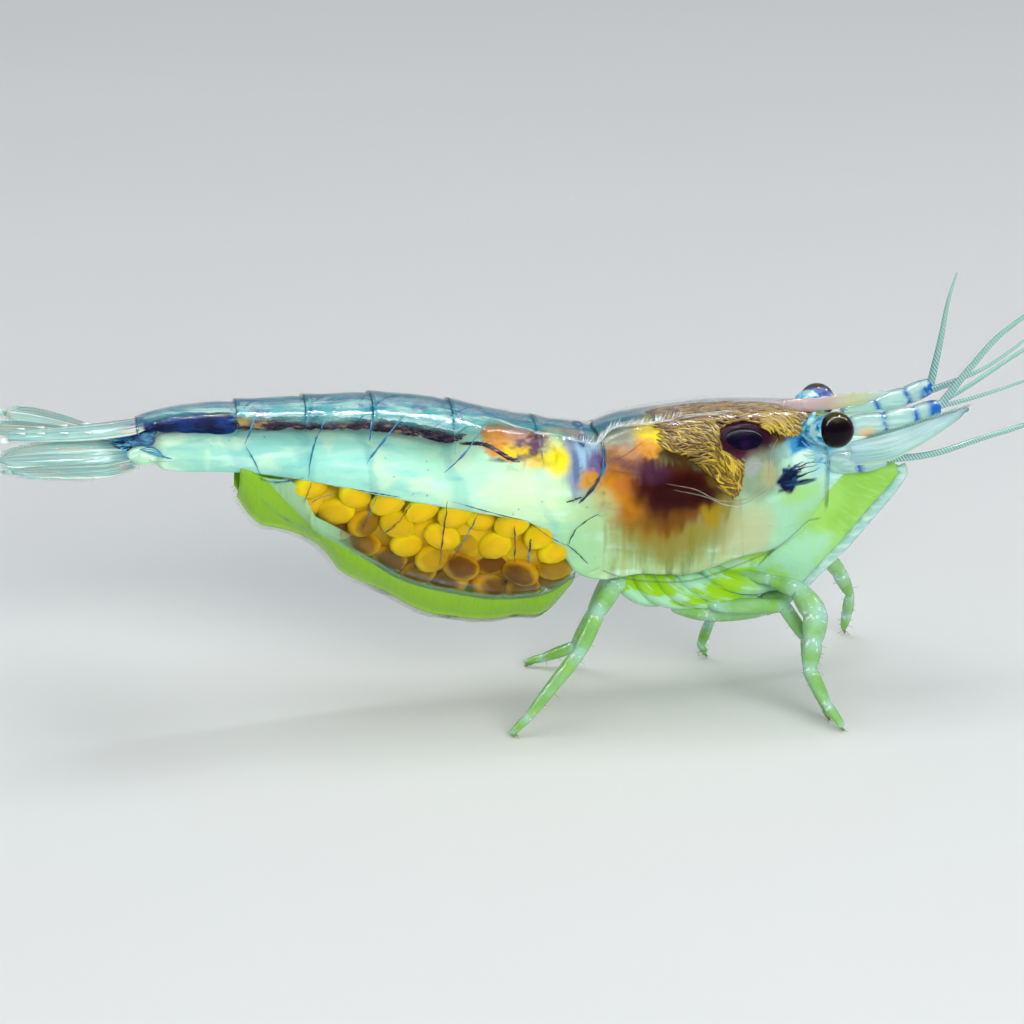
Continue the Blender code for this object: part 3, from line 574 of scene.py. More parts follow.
tone = gut.ramp(
    gut.noise(1.0, 4.0, stretch=(1.6, 6, 7)),
    (0.34, (0.006, 0.002, 0.02)), (0.46, (0.035, 0.012, 0.04)),
    (0.56, (0.10, 0.05, 0.10)), (0.68, (0.50, 0.28, 0.10)),
)
yellowish = gut.step(gut.x + gut.noise(1.5, 3.0) * 2, -8.9, -10.2) * gut.step(gut.z, 9.5, 9.6)
tone = gut.mix(yellowish, tone, (0.66, 0.46, 0.12))
gut.surface(tone, roughness=0.4, Specular_IOR_Level=0.2, height=gut.noise(6.0, 3.0), depth=0.04)
finished("gut", bm, gut, "pigment")

HINDGUT = through(
    [
        (-11.05, 0, 9.62), (-11.5, 0, 9.58), (-12.3, 0, 9.66), (-13.2, 0, 9.68), (-13.9, 0, 9.58),
        (-14.3, 0, 9.3), (-14.5, 0, 8.95), (-14.62, 0, 8.7),
    ],
    8,
)
HINDGUT_STRINGS = 40
bm = new_bmesh()
girth = curve(
    (-14.8, 0.06), (-14.5, 0.14), (-13.8, 0.2), (-13.2, 0.26), (-12, 0.33), (-11.2, 0.33), (-11, 0.24),
)
add_tube(bm, HINDGUT, [girth(p.x) * (1 + 0.18 * noise.noise(p * 3)) for p in HINDGUT], 18)
for strand in range(HINDGUT_STRINGS):
    near = HINDGUT[random.randrange(0, 8) if strand % 2 else random.randrange(30, len(HINDGUT))]
    turn, reach = random.uniform(0, 2 * math.pi), random.uniform(0.1, 0.45)
    root = near + 0.2 * Vector((0, math.cos(turn), math.sin(turn)))
    forwards = reach if strand % 2 else -reach
    tip = root + Vector((forwards, random.uniform(-0.1, 0.1), random.uniform(-0.12, 0.08)))
    add_hair(bm, root, tip, (0, 0, 0.03), [0.06, 0.045, 0.01], 5)
hindgut = Finish("hindgut")
mottle = hindgut.noise(1.0, 4.0, where=hindgut.wobbled((0.3, 0.3, 0.3), 2.0), stretch=(1.2, 3, 4))
tone = hindgut.layered(
    (0.0008, 0.003, 0.045),
    (hindgut.step(mottle, 0.42, 0.62), (0.002, 0.03, 0.22)),
    (hindgut.step(mottle, 0.64, 0.7), (0.05, 0.30, 0.55)),
)
hindgut.surface(tone, roughness=0.4, Specular_IOR_Level=0.2, height=hindgut.noise(4.0, 3.0), depth=0.05)
finished("hindgut", bm, hindgut, "pigment")

# The digestive gland is a mass of golden-brown tubules finer than hair, pressed up against the
# carapace and combed round the dark stomach. They are blind tubes that grow from the gut.
GLAND_FLOOR = curve(
    (1.7, 0.2), (2.2, 0.27), (2.75, 0.33), (3.3, 0.4), (3.75, 0.5), (4.2, 0.5), (4.4, 0.4),
    (4.6, 0.2), (5.2, 0.15), (5.6, 0.22), (6.3, 0.22), (6.5, 0.14),
)
STOMACH = (4.5, 0.24)  # x, and t down the flank
STOMACH_REACH = (0.78, 0.10)
TUBULES, PALE_TUBULES = 900, 70  # in all of the gland, and in arcs at its front
# Places in the gland and which way its tubules are combed there, in degrees: 0 forwards, 90 down.
COMBED = (
    (2.0, 0.08, 10), (2.0, 0.2, 35), (2.5, 0.3, 0), (2.9, 0.06, 8), (2.8, 0.18, 40), (3.1, 0.3, 10),
    (3.3, 0.38, 35), (3.6, 0.04, 2), (3.6, 0.22, 60), (3.7, 0.36, 70), (3.9, 0.46, 25),
    (4.2, 0.42, 80), (4.6, 0.05, 0), (5.3, 0.05, -8), (5.5, 0.12, -30), (5.9, 0.12, 10),
    (6.1, 0.18, 60), (5.6, 0.2, 20),
)


def combed(x, t):
    """The direction of the tubules at a place of the gland, in radians."""
    across, down = 0.0, 0.0
    for x0, t0, degrees in COMBED:
        near = 1 / (0.02 + (x - x0) ** 2 + (5 * (t - t0)) ** 2) ** 2
        across += near * math.cos(math.radians(degrees))
        down += near * math.sin(math.radians(degrees))
    return math.atan2(down, across)


def outside_stomach(x, t):
    return math.hypot((x - STOMACH[0]) / STOMACH_REACH[0], (t - STOMACH[1]) / STOMACH_REACH[1]) > 1


def add_shaded(bm, path, radii, shade, sides=5, flat=1.0):
    """Adds a tube with its own value of the attribute shade, from 0 for dark to 1 for light."""
    layer = bm.verts.layers.float.get("shade") or bm.verts.layers.float.new("shade")
    for vert in add_tube(bm, path, radii, sides, flat):
        vert[layer] = shade


random.seed(11)
bm = new_bmesh()
grown = 0
while grown < TUBULES:
    x, t = random.uniform(1.75, 6.4), random.uniform(0, 0.52)
    if t > GLAND_FLOOR(x) or not outside_stomach(x, t):
        continue
    grown += 1
    length, depth = random.uniform(0.3, 0.75), random.uniform(0.0, 0.07)
    heading, bend = combed(x, t) + random.uniform(-0.5, 0.5), random.uniform(-1.6, 1.6)
    tone = random.random()
    for side in (-1, 1):
        here, turn, path = [x, t], heading, []
        for k in range(7):
            path.append(FLESH.place(*here, side, 0.03 + depth * math.sin(math.pi * k / 6)))
            fall = (FLESH.place(here[0], here[1] + 0.02) - FLESH.place(here[0], here[1])).length / 0.02
            along_it = here[0] + length / 6 * math.cos(turn)
            down_it = abs(here[1] + length / 6 * math.sin(turn) / fall)
            if down_it < GLAND_FLOOR(along_it) + 0.02 and outside_stomach(along_it, down_it):
                here = [along_it, down_it]
            turn += bend / 6 + 0.4 * math.sin(combed(*here) - turn)
        add_shaded(bm, path, [0.012, 0.026, 0.034, 0.036, 0.034, 0.026, 0.01], tone)
for arc in range(PALE_TUBULES):
    reach, start, tone = random.uniform(0.25, 1.15), random.uniform(0.1, 1.0), random.uniform(0.62, 1.0)
    for side in (-1, 1):
        path = []
        for k in range(7):
            turn = start + 0.9 * k / 6
            t = abs(0.25 - 0.2 * reach * math.sin(turn))
            out = 0.06 + 0.04 * math.sin(math.pi * k / 6)
            path.append(FLESH.place(5.15 + reach * math.cos(turn), t, side, out))
        add_shaded(bm, path, [0.012, 0.024, 0.03, 0.034, 0.03, 0.024, 0.01], tone)
gland = Finish("gland tubules")
tone = gland.ramp(
    gland.attribute("shade"),
    (0.0, (0.035, 0.014, 0.004)), (0.3, (0.16, 0.09, 0.012)),
    (0.65, (0.50, 0.34, 0.03)), (1.0, (0.90, 0.70, 0.06)),
)
tone = gland.mix(gland.noise(1.5, 3.0) * 0.7, tone, (0.20, 0.12, 0.015))
# The tubules are painted darker pinkish brown towards the top of the gland: painted shade.
painted_top_shade = gland.step(gland.z + gland.noise(1.0, 2.0) * 0.4, 9.2, 9.55)
tone = gland.mix(painted_top_shade * 0.4, tone, (0.26, 0.13, 0.08))
gland.surface(tone, roughness=0.35, Specular_IOR_Level=0.4)
finished("gland_tubules", bm, gland, "pigment")

# The stomach is a small sac of glossy, dark indigo skin. It is pressed up against the carapace, and
# bulges through the gland on both sides.
bm = new_bmesh()
for side in (-1, 1):
    centre = FLESH.place(*STOMACH, side, -0.06)
    outwards = (FLESH.place(*STOMACH, side, 1.0) - FLESH.place(*STOMACH, side)).normalized()
    turn = outwards.to_track_quat("Z", "X").to_matrix().to_4x4()
    made = bmesh.ops.create_uvsphere(bm, u_segments=32, v_segments=20, radius=1)["verts"]
    lengthwise = turn.inverted() @ Vector((1, 0, 0))
    spin = Matrix.Rotation(math.atan2(lengthwise.y, lengthwise.x), 4, "Z")
    size = Matrix.Diagonal((0.62, 0.38, 0.2, 1))
    bmesh.ops.transform(bm, matrix=Matrix.Translation(centre) @ turn @ spin @ size, verts=made)
stomach = Finish("stomach")
# Lighter indigo patches over the dark sac are a painted sheen.
painted_sheen = stomach.step(stomach.noise(2.5, 3.0), 0.5, 0.75)
tone = stomach.mix(painted_sheen, (0.001, 0.0003, 0.010), (0.012, 0.001, 0.035))
stomach.surface(tone, roughness=0.2, Specular_IOR_Level=0.05)
finished("stomach", bm, stomach, "pigment")

# Dark rims of the stomach's wall arch over the sac, with paler folds between them. Fine folds of the
# clear gut wall and of the cheek hang below it, and navy fibres fan from the jaw muscle.
FOLD_LIFT = 0.03  # off the flesh
RIMS, MUSCLE_FIBRES = 14, 46


def add_fold(bm, points, thick, tone):
    """Adds a fold of skin on both flanks, through points given as x and t, thick in its middle."""
    route = through([(x, t, 0) for x, t in points], 8)
    last = len(route) - 1
    for side in (-1, 1):
        path = [FLESH.place(p.x, abs(p.y), side, FOLD_LIFT) for p in route]
        widths = [thick * w * (1 + 0.3 * math.sin(1.9 * k)) for k, w in enumerate(swell(0.25, 0.75, last))]
        add_shaded(bm, path, widths, tone, 6, flat=0.7)


random.seed(13)
bm = new_bmesh()
for ring in range(RIMS):
    wide = 1.18 + 0.05 * ring
    start, end = random.uniform(-0.2, 0.6), random.uniform(2.2, 3.3)
    points = []
    for k in range(6):
        turn = start + (end - start) * k / 5
        x = STOMACH[0] + 0.1 + STOMACH_REACH[0] * wide * math.cos(turn)
        points.append((x, STOMACH[1] - STOMACH_REACH[1] * wide * math.sin(turn)))
    add_fold(bm, points, random.uniform(0.02, 0.045), random.choice((0.0, 0.05, 0.1, 0.4, 0.7)))
for points, thick, tone in (
    ([(2.0, 0.42), (2.9, 0.46), (3.7, 0.54), (4.4, 0.56), (5.05, 0.5)], 0.018, 0.75),
    ([(2.2, 0.45), (3.2, 0.5), (3.9, 0.58), (4.6, 0.575), (5.2, 0.49)], 0.014, 0.85),
    ([(3.5, 0.53), (4.2, 0.6), (4.8, 0.57), (5.3, 0.5)], 0.014, 0.9),
    ([(5.6, 0.25), (5.3, 0.34), (5.2, 0.46)], 0.012, 0.75),
    ([(4.4, 0.4), (4.8, 0.37), (5.2, 0.4)], 0.012, 0.85),
    ([(0.3, 0.28), (0.8, 0.26), (1.4, 0.2)], 0.014, 0.35),
    ([(0.2, 0.32), (0.7, 0.35), (1.3, 0.36)], 0.016, 0.35),
    ([(0.4, 0.38), (1.0, 0.3), (1.5, 0.24)], 0.012, 0.5),
):
    add_fold(bm, points, thick, tone)
folds = Finish("stomach folds")
tone = folds.ramp(
    folds.attribute("shade"),
    (0.0, (0.012, 0.002, 0.02)), (0.1, (0.05, 0.006, 0.03)), (0.4, (0.26, 0.10, 0.09)),
    (0.7, (0.42, 0.30, 0.22)), (0.85, (0.50, 0.52, 0.38)), (1.0, (0.85, 0.9, 0.88)),
)
folds.surface(tone, roughness=0.15, Specular_IOR_Level=0.3)
finished("stomach_folds", bm, folds, "pigment")
bm = new_bmesh()
for strand in range(MUSCLE_FIBRES):
    x, t = 5.86 + random.uniform(-0.22, 0.28), 0.5 + random.uniform(-0.08, 0.06)
    reach = random.uniform(0.1, 0.32) if strand % 6 else random.uniform(0.6, 0.9)
    fall = random.uniform(-0.02, 0.03)
    for side in (-1, 1):
        path = [
            FLESH.place(x + reach * k / 4, t + fall * k / 4 + 0.006 * (k % 2), side, 0.02) for k in range(5)
        ]
        add_tube(bm, path, [0.03, 0.035, 0.025, 0.018, 0.006], 5, flat=0.5)
jaw_muscle = Finish("jaw muscle")
flecks = jaw_muscle.step(jaw_muscle.noise(3.0, 3.0), 0.45, 0.65)
tone = jaw_muscle.mix(flecks, (0.001, 0.006, 0.06), (0.01, 0.10, 0.26))
jaw_muscle.surface(tone, roughness=0.25)
finished("jaw_muscle", bm, jaw_muscle, "pigment")

# The shell is clear and glassy. Each segment of the abdomen has its own plate, bent over the back and
# down both flanks. The plates lap over each other, and the second one covers both its neighbours.
JOINTS = (0.0, -1.88, -4.29, -6.73, -8.77, -10.87, -13.9)
LEANS = (0.15, 0.95, -0.55, -0.7, -0.75, -0.3, 0.0)  # how far a joint has moved along x at the edge
SHELL_WALL = 0.045
FLARE = 0.045  # how far the rear edge of a plate stands out
ABDOMEN = Trunk(
    top=curve(
        (-14.4, 9.7), (-13.7, 9.98), (-12.8, 10.18), (-11, 10.26), (-8.3, 10.3),
        (-6.4, 10.26), (-4.5, 9.96), (-2, 9.34), (0.4, 8.92),
    ),
    waist_depth=curve((-14, 0.9), (-11, 1.1), (-7, 1.5), (-3, 1.8), (0, 1.9)),
    width=curve(
        (-14.2, 0.92), (-12.5, 1.15), (-10.8, 1.3), (-8.3, 1.66), (-5.8, 1.95), (-3, 2.05), (0.3, 1.85),
    ),
    edge=curve(
        (-14, 8.75), (-11.3, 8.6), (-10, 7.1), (-8.6, 6.3), (-6.5, 5.2), (-4, 4.5), (-2, 4.35),
        (-0.6, 4.7), (0.3, 5),
    ),
    tuck=0.12,
)


def joint_x(i, t):
    """x of body joint i, t down the flank. The first segment rounds forwards under the carapace."""
    return JOINTS[i] + LEANS[i] * t * t + (0.35 * math.sin(math.pi * t) if i == 0 else 0.0)


shell = Finish("clear shell")
round_it = abs(shell.s * 2 - 1)  # 0 on the back's middle line, 1 at either lower edge
cloudy = shell.noise(1.0, 3.0, stretch=(0.6, 1.5, 1.5))
streaky = shell.noise(1.0, 4.0, where=shell.wobbled((0.3, 0.3, 0.3), 1.2), stretch=(0.8, 5, 5))
narrower = (shell.step(shell.x, -3.9, -3.2) + shell.step(shell.x, -10.7, -11.3)) * 0.1
crown = shell.step(round_it + (cloudy - 0.5) * 0.1 + narrower, 0.27, 0.17)
lower = shell.step(round_it, 0.5, 0.85)
rim = shell.step(round_it, 0.982, 0.992) * shell.step(cloudy, 0.4, 0.6)
hem = shell.step(shell.t, 0.026, 0.012) * shell.step(round_it + (streaky - 0.5) * 0.9, 0.32, 0.1)
specks = shell.node("ShaderNodeTexVoronoi", None, {"Vector": shell.place, "Scale": 2.6})
specks = shell.step(specks, 0.12, 0.04) * shell.step(shell.noise(0.8, 1.0), 0.52, 0.6)
tint = shell.layered(
    (0.06, 0.48, 0.54),
    (shell.step(streaky, 0.4, 0.6), (0.40, 0.88, 0.82)),
    (shell.step(shell.noise(1.1, 3.0), 0.56, 0.66), (0.01, 0.16, 0.42)),
    (shell.step(shell.x + cloudy, -2.0, -0.6) * shell.step(streaky, 0.45, 0.6), (0.60, 0.46, 0.32)),
    (shell.step(round_it + (streaky - 0.5) * 0.1, 0.1, 0.05) * 0.8, (0.02, 0.24, 0.40)),
    (lower, (0.30, 0.66, 0.62)),
    (specks, (0.01, 0.10, 0.25)),
    (hem.most(rim), (0.01, 0.12, 0.26)),
)
crowned = crown * (0.42 + 0.3 * shell.step(streaky, 0.5, 0.35))
opacity = 0.002 + crowned + specks * 0.35 + hem.most(rim * 0.4) * 0.45
shell.surface(
    tint,
    roughness=0.07,
    alpha=opacity,
    height=shell.noise(1.2, 2.0) + shell.noise(7.0, 2.0) * 0.16,
    depth=0.035,
    shine=0.06,
    Specular_IOR_Level=0.2,
)
for i in range(6):

    def plate_place(s, t, i=i):
        """s runs round the plate from one lower edge over the back to the other, t from the rear."""
        down, side = abs(2 * s - 1), (-1 if s < 0.5 else 1)
        lap = 0.16 if i != 0 else 0.02
        rear = joint_x(i + 1, down) - (0.0 if i == 0 else lap)
        front = joint_x(i, down) + (lap if i == 1 else 0.0)
        x = rear + (front - rear) * t
        flare = FLARE * smooth(t, 0.3, 0.0)
        flare += FLARE * smooth(t, 0.75, 1.0) * (1 if i == 1 else -0.9)
        return ABDOMEN.place(x, down, side, flare)

    bm = new_bmesh()
    add_sheet(bm, 84, 30, plate_place)
    finished(f"abdomen_plate_{i + 1}", bm, shell, "shell", f"abdomen_{i + 1}", wall=SHELL_WALL)

# The carapace is one clear saddle of thin shell over the head and chest, deepest over the gills. Its
# rear edge laps over the first plate of the abdomen, and its lower edge ends in a thin hem.
CARAPACE = Trunk(
    top=curve((0, 8.98), (0.6, 9.24), (1.4, 9.38), (2.5, 9.5), (3.8, 9.6), (5, 9.57), (6.2, 9.5)),
    waist_depth=curve((0, 2.0), (2.5, 2.3), (5, 2.1), (7.3, 1.5)),
    width=curve((0, 1.95), (1.2, 2.1), (2.6, 2.18), (4.2, 2.08), (5.6, 1.85), (6.6, 1.5), (7.3, 1.2)),
    edge=curve((-0.2, 5), (0.4, 4.68), (1.2, 4.48), (2.8, 4.42), (4.4, 4.86), (5.7, 5.35), (6.6, 6)),
    tuck=0.1,
)


def carapace_place(s, t):
    down, side = abs(2 * s - 1), (-1 if s < 0.5 else 1)
    rear, front = joint_x(0, down) - 0.08, 6.55 + 0.7 * smooth(down, 0.08, 0.53)
    x = rear + (front - rear) * t
    return CARAPACE.place(x, down, side, 0.03 * smooth(t, 0.06, 0.0))


carapace = Finish("clear carapace")
round_it = abs(carapace.s * 2 - 1)
cloudy = carapace.noise(1.0, 3.0, stretch=(0.6, 1.5, 1.5))
crown = carapace.step(round_it + (cloudy - 0.5) * 0.06, 0.13, 0.05)
rim = carapace.step(round_it, 0.984, 0.992)
brow = carapace.step(carapace.t, 0.982, 0.99) * carapace.step(round_it, 0.05, 0.2)
hem = carapace.step(carapace.t, 0.014, 0.006) * carapace.step(round_it, 0.35, 0.15)
tint = carapace.layered(
    (0.08, 0.30, 0.42),
    (carapace.step(carapace.x + cloudy, 1.6, 2.8), (0.38, 0.28, 0.24)),
    (carapace.step(carapace.x + cloudy, 4.6, 5.8), (0.62, 0.56, 0.58)),
    (carapace.step(round_it, 0.3, 0.6), (0.30, 0.60, 0.50)),
    (hem.most(rim).most(brow), (0.03, 0.09, 0.08)),
)
crowned = crown * (0.08 + 0.4 * carapace.step(carapace.x + cloudy, 2.8, 1.6))
carapace.surface(
    tint,
    roughness=0.07,
    alpha=0.002 + crowned + rim * 0.18 + hem * 0.4 + brow * 0.2,
    height=carapace.noise(1.2, 2.0) + carapace.noise(7.0, 2.0) * 0.16,
    depth=0.035,
    shine=0.06,
    Specular_IOR_Level=0.2,
)
bm = new_bmesh()
add_sheet(bm, 110, 80, carapace_place)
finished("carapace_shell", bm, carapace, "shell", "carapace", wall=SHELL_WALL)

# Fine pale hairs lie in a line along each shoulder of the shell, where its curve catches the light: they are
# a painted highlight, drawn along the bright line of the light behind. They are thickest where the carapace
# meets the abdomen.
# How far down the flank the painted highlight lies, along x.
HIGHLIGHT_LINE = curve(
    (-3.6, 0.1), (-3, 0.11), (-2, 0.147), (-1.2, 0.152), (-0.43, 0.185), (-0.06, 0.18),
    (0.44, 0.122), (1.38, 0.127), (2.13, 0.127), (2.8, 0.115), (3.75, 0.121), (4.4, 0.11),
)
HIGHLIGHT_LIFT = 0.055  # just clear of the shell
HIGHLIGHT_HAIRS = 260
random.seed(19)
bm = new_bmesh()
for strand in range(HIGHLIGHT_HAIRS):
    crossing = strand % 2 == 0
    start = random.uniform(-0.9, 2.6) if crossing else random.uniform(-3.6, 3.9)
    reach = random.uniform(0.05, 0.2) if crossing else random.uniform(0.25, 0.7)
    rise = random.uniform(0.02, 0.06) if crossing else random.uniform(-0.004, 0.004)
    own, thick = random.uniform(-0.01, 0.01), random.uniform(0.003, 0.01)
    for side in (-1, 1):
        path = []
        for k in range(5):
            x = start + reach * k / 4
            trunk = CARAPACE if x > 0 else ABDOMEN
            path.append(trunk.place(x, HIGHLIGHT_LINE(x) + own - rise * k / 4, side, HIGHLIGHT_LIFT))
        add_tube(bm, path, [thick * w for w in (0.2, 0.9, 1.0, 0.7, 0.1)], 4, flat=0.6)
# The hairs are near white: they paint the highlight along the shell's shoulder.
highlight_hairs = Finish("painted highlight")
highlight_hairs.surface(highlight_hairs.mix(highlight_hairs.noise(3.0), (0.80, 0.93, 0.92), (0.97, 1.0, 1.0)), roughness=0.25)
finished("painted_highlight_hairs", bm, highlight_hairs, "shell")

# Dark-blue membrane shows as fine lines where the plates are hinged and where their margins lie over
# each other. Each line is thin pigmented skin on the inside of a plate.
# Each line: x and t at its upper end, x and t at its lower end, bow, thickness.
MEMBRANES = (
    (-5.62, 0.09, -7.20, 0.52, -0.05, 0.045), (-3.42, 0.12, -4.85, 0.5, 0.1, 0.035),
    (-7.99, 0.09, -8.95, 0.65, -0.2, 0.035), (-6.73, 0.0, -7.09, 0.37, 0.0, 0.035),
    (-4.29, 0.0, -4.48, 0.28, 0.0, 0.035), (-1.88, 0.0, -1.9, 0.14, 0.0, 0.04),
    (-8.64, 0.0, -8.94, 0.28, 0.0, 0.04), (-10.18, 0.0, -10.83, 0.45, 0.0, 0.04),
    (-10.83, 0.45, -10.3, 0.8, 0.0, 0.03), (-0.41, 0.0, -0.43, 0.19, 0.0, 0.14),
    (0.16, 0.15, -0.71, 0.52, 0.32, 0.06), (-1.09, 0.52, -0.61, 0.48, 0.0, 0.06),
    (-6.89, 0.67, -7.37, 0.87, 0.0, 0.03), (-5.87, 0.67, -6.82, 0.86, 0.1, 0.03),
    (-4.76, 0.62, -4.99, 0.92, 0.0, 0.035), (-3.82, 0.65, -4.74, 0.91, 0.05, 0.035),
    (-2.69, 0.67, -2.68, 0.86, 0.0, 0.04), (-2.19, 0.73, -2.27, 0.86, 0.0, 0.045),
    (-8.83, 0.67, -9.1, 0.83, 0.0, 0.025), (-8.06, 0.7, -8.91, 0.83, -0.15, 0.025),
    (0.15, 0.56, -1.01, 0.78, -0.25, 0.035), (-1.08, 0.77, -0.37, 0.94, 0.05, 0.03),
    (-10.42, 0.8, -9.05, 0.65, 0.0, 0.035), (-7.69, 0.66, -6.15, 0.65, 0.0, 0.03),
    (-4.6, 0.62, -2.29, 0.64, 0.0, 0.03), (-2.29, 0.64, -1.08, 0.78, 0.0, 0.025),
)
MEMBRANE_DEPTH = 0.075  # below the outside of the shell
STEPS = 16  # along each line
random.seed(3)
bm = new_bmesh()
for x0, t0, x1, t1, bow, thick in MEMBRANES:
    for side in (-1, 1):
        path = []
        for k in range(STEPS + 1):
            share = k / STEPS
            x = x0 + (x1 - x0) * share + bow * math.sin(math.pi * share)
            x += 0.04 * noise.noise(Vector((4 * x0 + 9 * share, t0, side)))
            t = t0 + (t1 - t0) * share
            trunk = CARAPACE if x > 0 else ABDOMEN
            path.append(trunk.place(x, t, side, -MEMBRANE_DEPTH))
        wave = [0.4 + 1.8 * abs(noise.noise(Vector((9 * k / STEPS, x0, 2)))) for k in range(STEPS + 1)]
        ends = [min(1.0, 0.25 + 4 * min(k, STEPS - k) / STEPS) for k in range(STEPS + 1)]
        add_tube(bm, path, [thick * w * e for w, e in zip(wave, ends)], 6, flat=0.6)
membrane = Finish("membrane")
tone = membrane.layered(
    (0.004, 0.13, 0.38),
    (membrane.step(membrane.z, 9.2, 7.4), (0.03, 0.035, 0.05)),
    (membrane.step(membrane.noise(1.4, 2.0), 0.45, 0.7), (0.01, 0.28, 0.52)),
)
membrane.surface(tone, roughness=0.3, alpha=0.85)
finished("membranes", bm, membrane, "pigment")

# The rostrum is a thin upright blade of shell with small teeth along its top. It grows forward from
# the carapace, between the eyes.
ROSTRUM_ROOT, ROSTRUM_LENGTH = 5.6, 3.75
ROSTRUM_TOP = curve((5.6, 9.53), (6.2, 9.56), (7.0, 9.56), (7.8, 9.62), (8.6, 9.66), (9.35, 9.66))
ROSTRUM_KEEL = curve((5.6, 9.4), (6.2, 9.12), (7.0, 9.12), (7.8, 9.18), (8.6, 9.3), (9.35, 9.6))


def rostrum_place(s, t):
    """s runs once round the blade's section and t from its root to its tip."""
    x = ROSTRUM_ROOT + ROSTRUM_LENGTH * t
    turn = 2 * math.pi * s
    high, low = ROSTRUM_TOP(x), ROSTRUM_KEEL(x)
    middle, half = (high + low) / 2, (high - low) / 2
    teeth = 0.035 * max(0.0, math.sin(x * 14)) * smooth(math.cos(turn), 0.6, 1.0) * smooth(x, 6.3, 6.8)
    closing = smooth(min(t, 1 - t), 0, 0.02)
    thick = 0.2 - 0.13 * smooth(t, 0, 0.8)
    return Vector((x, closing * thick * math.sin(turn), middle + closing * (half + teeth) * math.cos(turn)))


bm = new_bmesh()
add_sheet(bm, 24, 150, rostrum_place)
rostrum = Finish("rostrum")
tone = rostrum.layered(
    (0.70, 0.48, 0.48),
    (rostrum.step(rostrum.x, 7.0, 8.3), (0.60, 0.66, 0.34)),
    (rostrum.step(rostrum.x, 8.3, 9.2), (0.45, 0.72, 0.66)),
    (rostrum.noise(1.5, 3.0) * 0.25, (0.66, 0.72, 0.62)),
)
see_through = 0.72 * rostrum.step(rostrum.x, 5.6, 6.4)
rostrum.surface(
    tone, roughness=0.12, alpha=see_through, Coat_Weight=0.8, Subsurface_Weight=0.2, Subsurface_Scale=0.3 * MM
)
finished("rostrum_blade", bm, rostrum, "shell", "rostrum")

# Each eye is a round, nearly black globe under a clear domed cornea, on a short stalk. The stalk is
# glassy, with bright-blue pigment that streaks back over the cheek behind the eye.
SIDES = {"right": -1, "left": 1}
EYE_RADIUS, CORNEA_DEPTH = 0.58, 0.02
BLUE_STREAKS = 22  # behind each eye
eye = Finish("eye")
inner_half = eye.step(abs(eye.y), 1.55, 1.15)
# The purple, the blue patches and the pale blue patches low on each eye's inner half are painted reflections.
painted_reflection = eye.noise(1.0, 4.0, where=eye.wobbled((0.3, 0.3, 0.3), 2.0), stretch=(2, 2, 3.5))
tone = eye.layered(
    (0.0015, 0.0006, 0.0015),
    (eye.step(eye.x, 7.5, 7.85), (0.012, 0.001, 0.006)),
    (inner_half, (0.022, 0.006, 0.05)),
    (inner_half * eye.step(painted_reflection, 0.40, 0.58) * eye.step(eye.z, 9.54, 9.4), (0.12, 0.20, 0.62)),
    (inner_half * eye.step(painted_reflection, 0.56, 0.66) * eye.step(eye.z, 9.44, 9.2), (0.44, 0.66, 0.86)),
    (eye.step(eye.z, 9.5, 9.56) * inner_half, (0.30, 0.26, 0.01)),
)
eye.surface(tone, roughness=0.15, Specular_IOR_Level=0.1)
cornea = Finish("cornea")
tone = cornea.mix(cornea.step(cornea.z, 9.2, 9.5), (0.08, 0.02, 0.12), (0.40, 0.34, 0.02))
cornea.surface(tone, roughness=0.03, alpha=0.015 + 0.12 * cornea.step(cornea.z, 9.3, 9.5), shine=0.03)
stalk = Finish("eye stalk")
streaks = stalk.noise(1.0, 4.0, where=stalk.wobbled((0.3, 0.3, 0.3), 2.0), stretch=(1.5, 4, 5))
tone = stalk.layered(
    (0.42, 0.74, 0.78),
    (stalk.step(streaks, 0.42, 0.58), (0.06, 0.42, 0.66)),
    (stalk.step(streaks, 0.58, 0.68), (0.004, 0.10, 0.36)),
)
stalk.surface(tone, roughness=0.15, Specular_IOR_Level=0.4, height=streaks, depth=0.05)
random.seed(17)
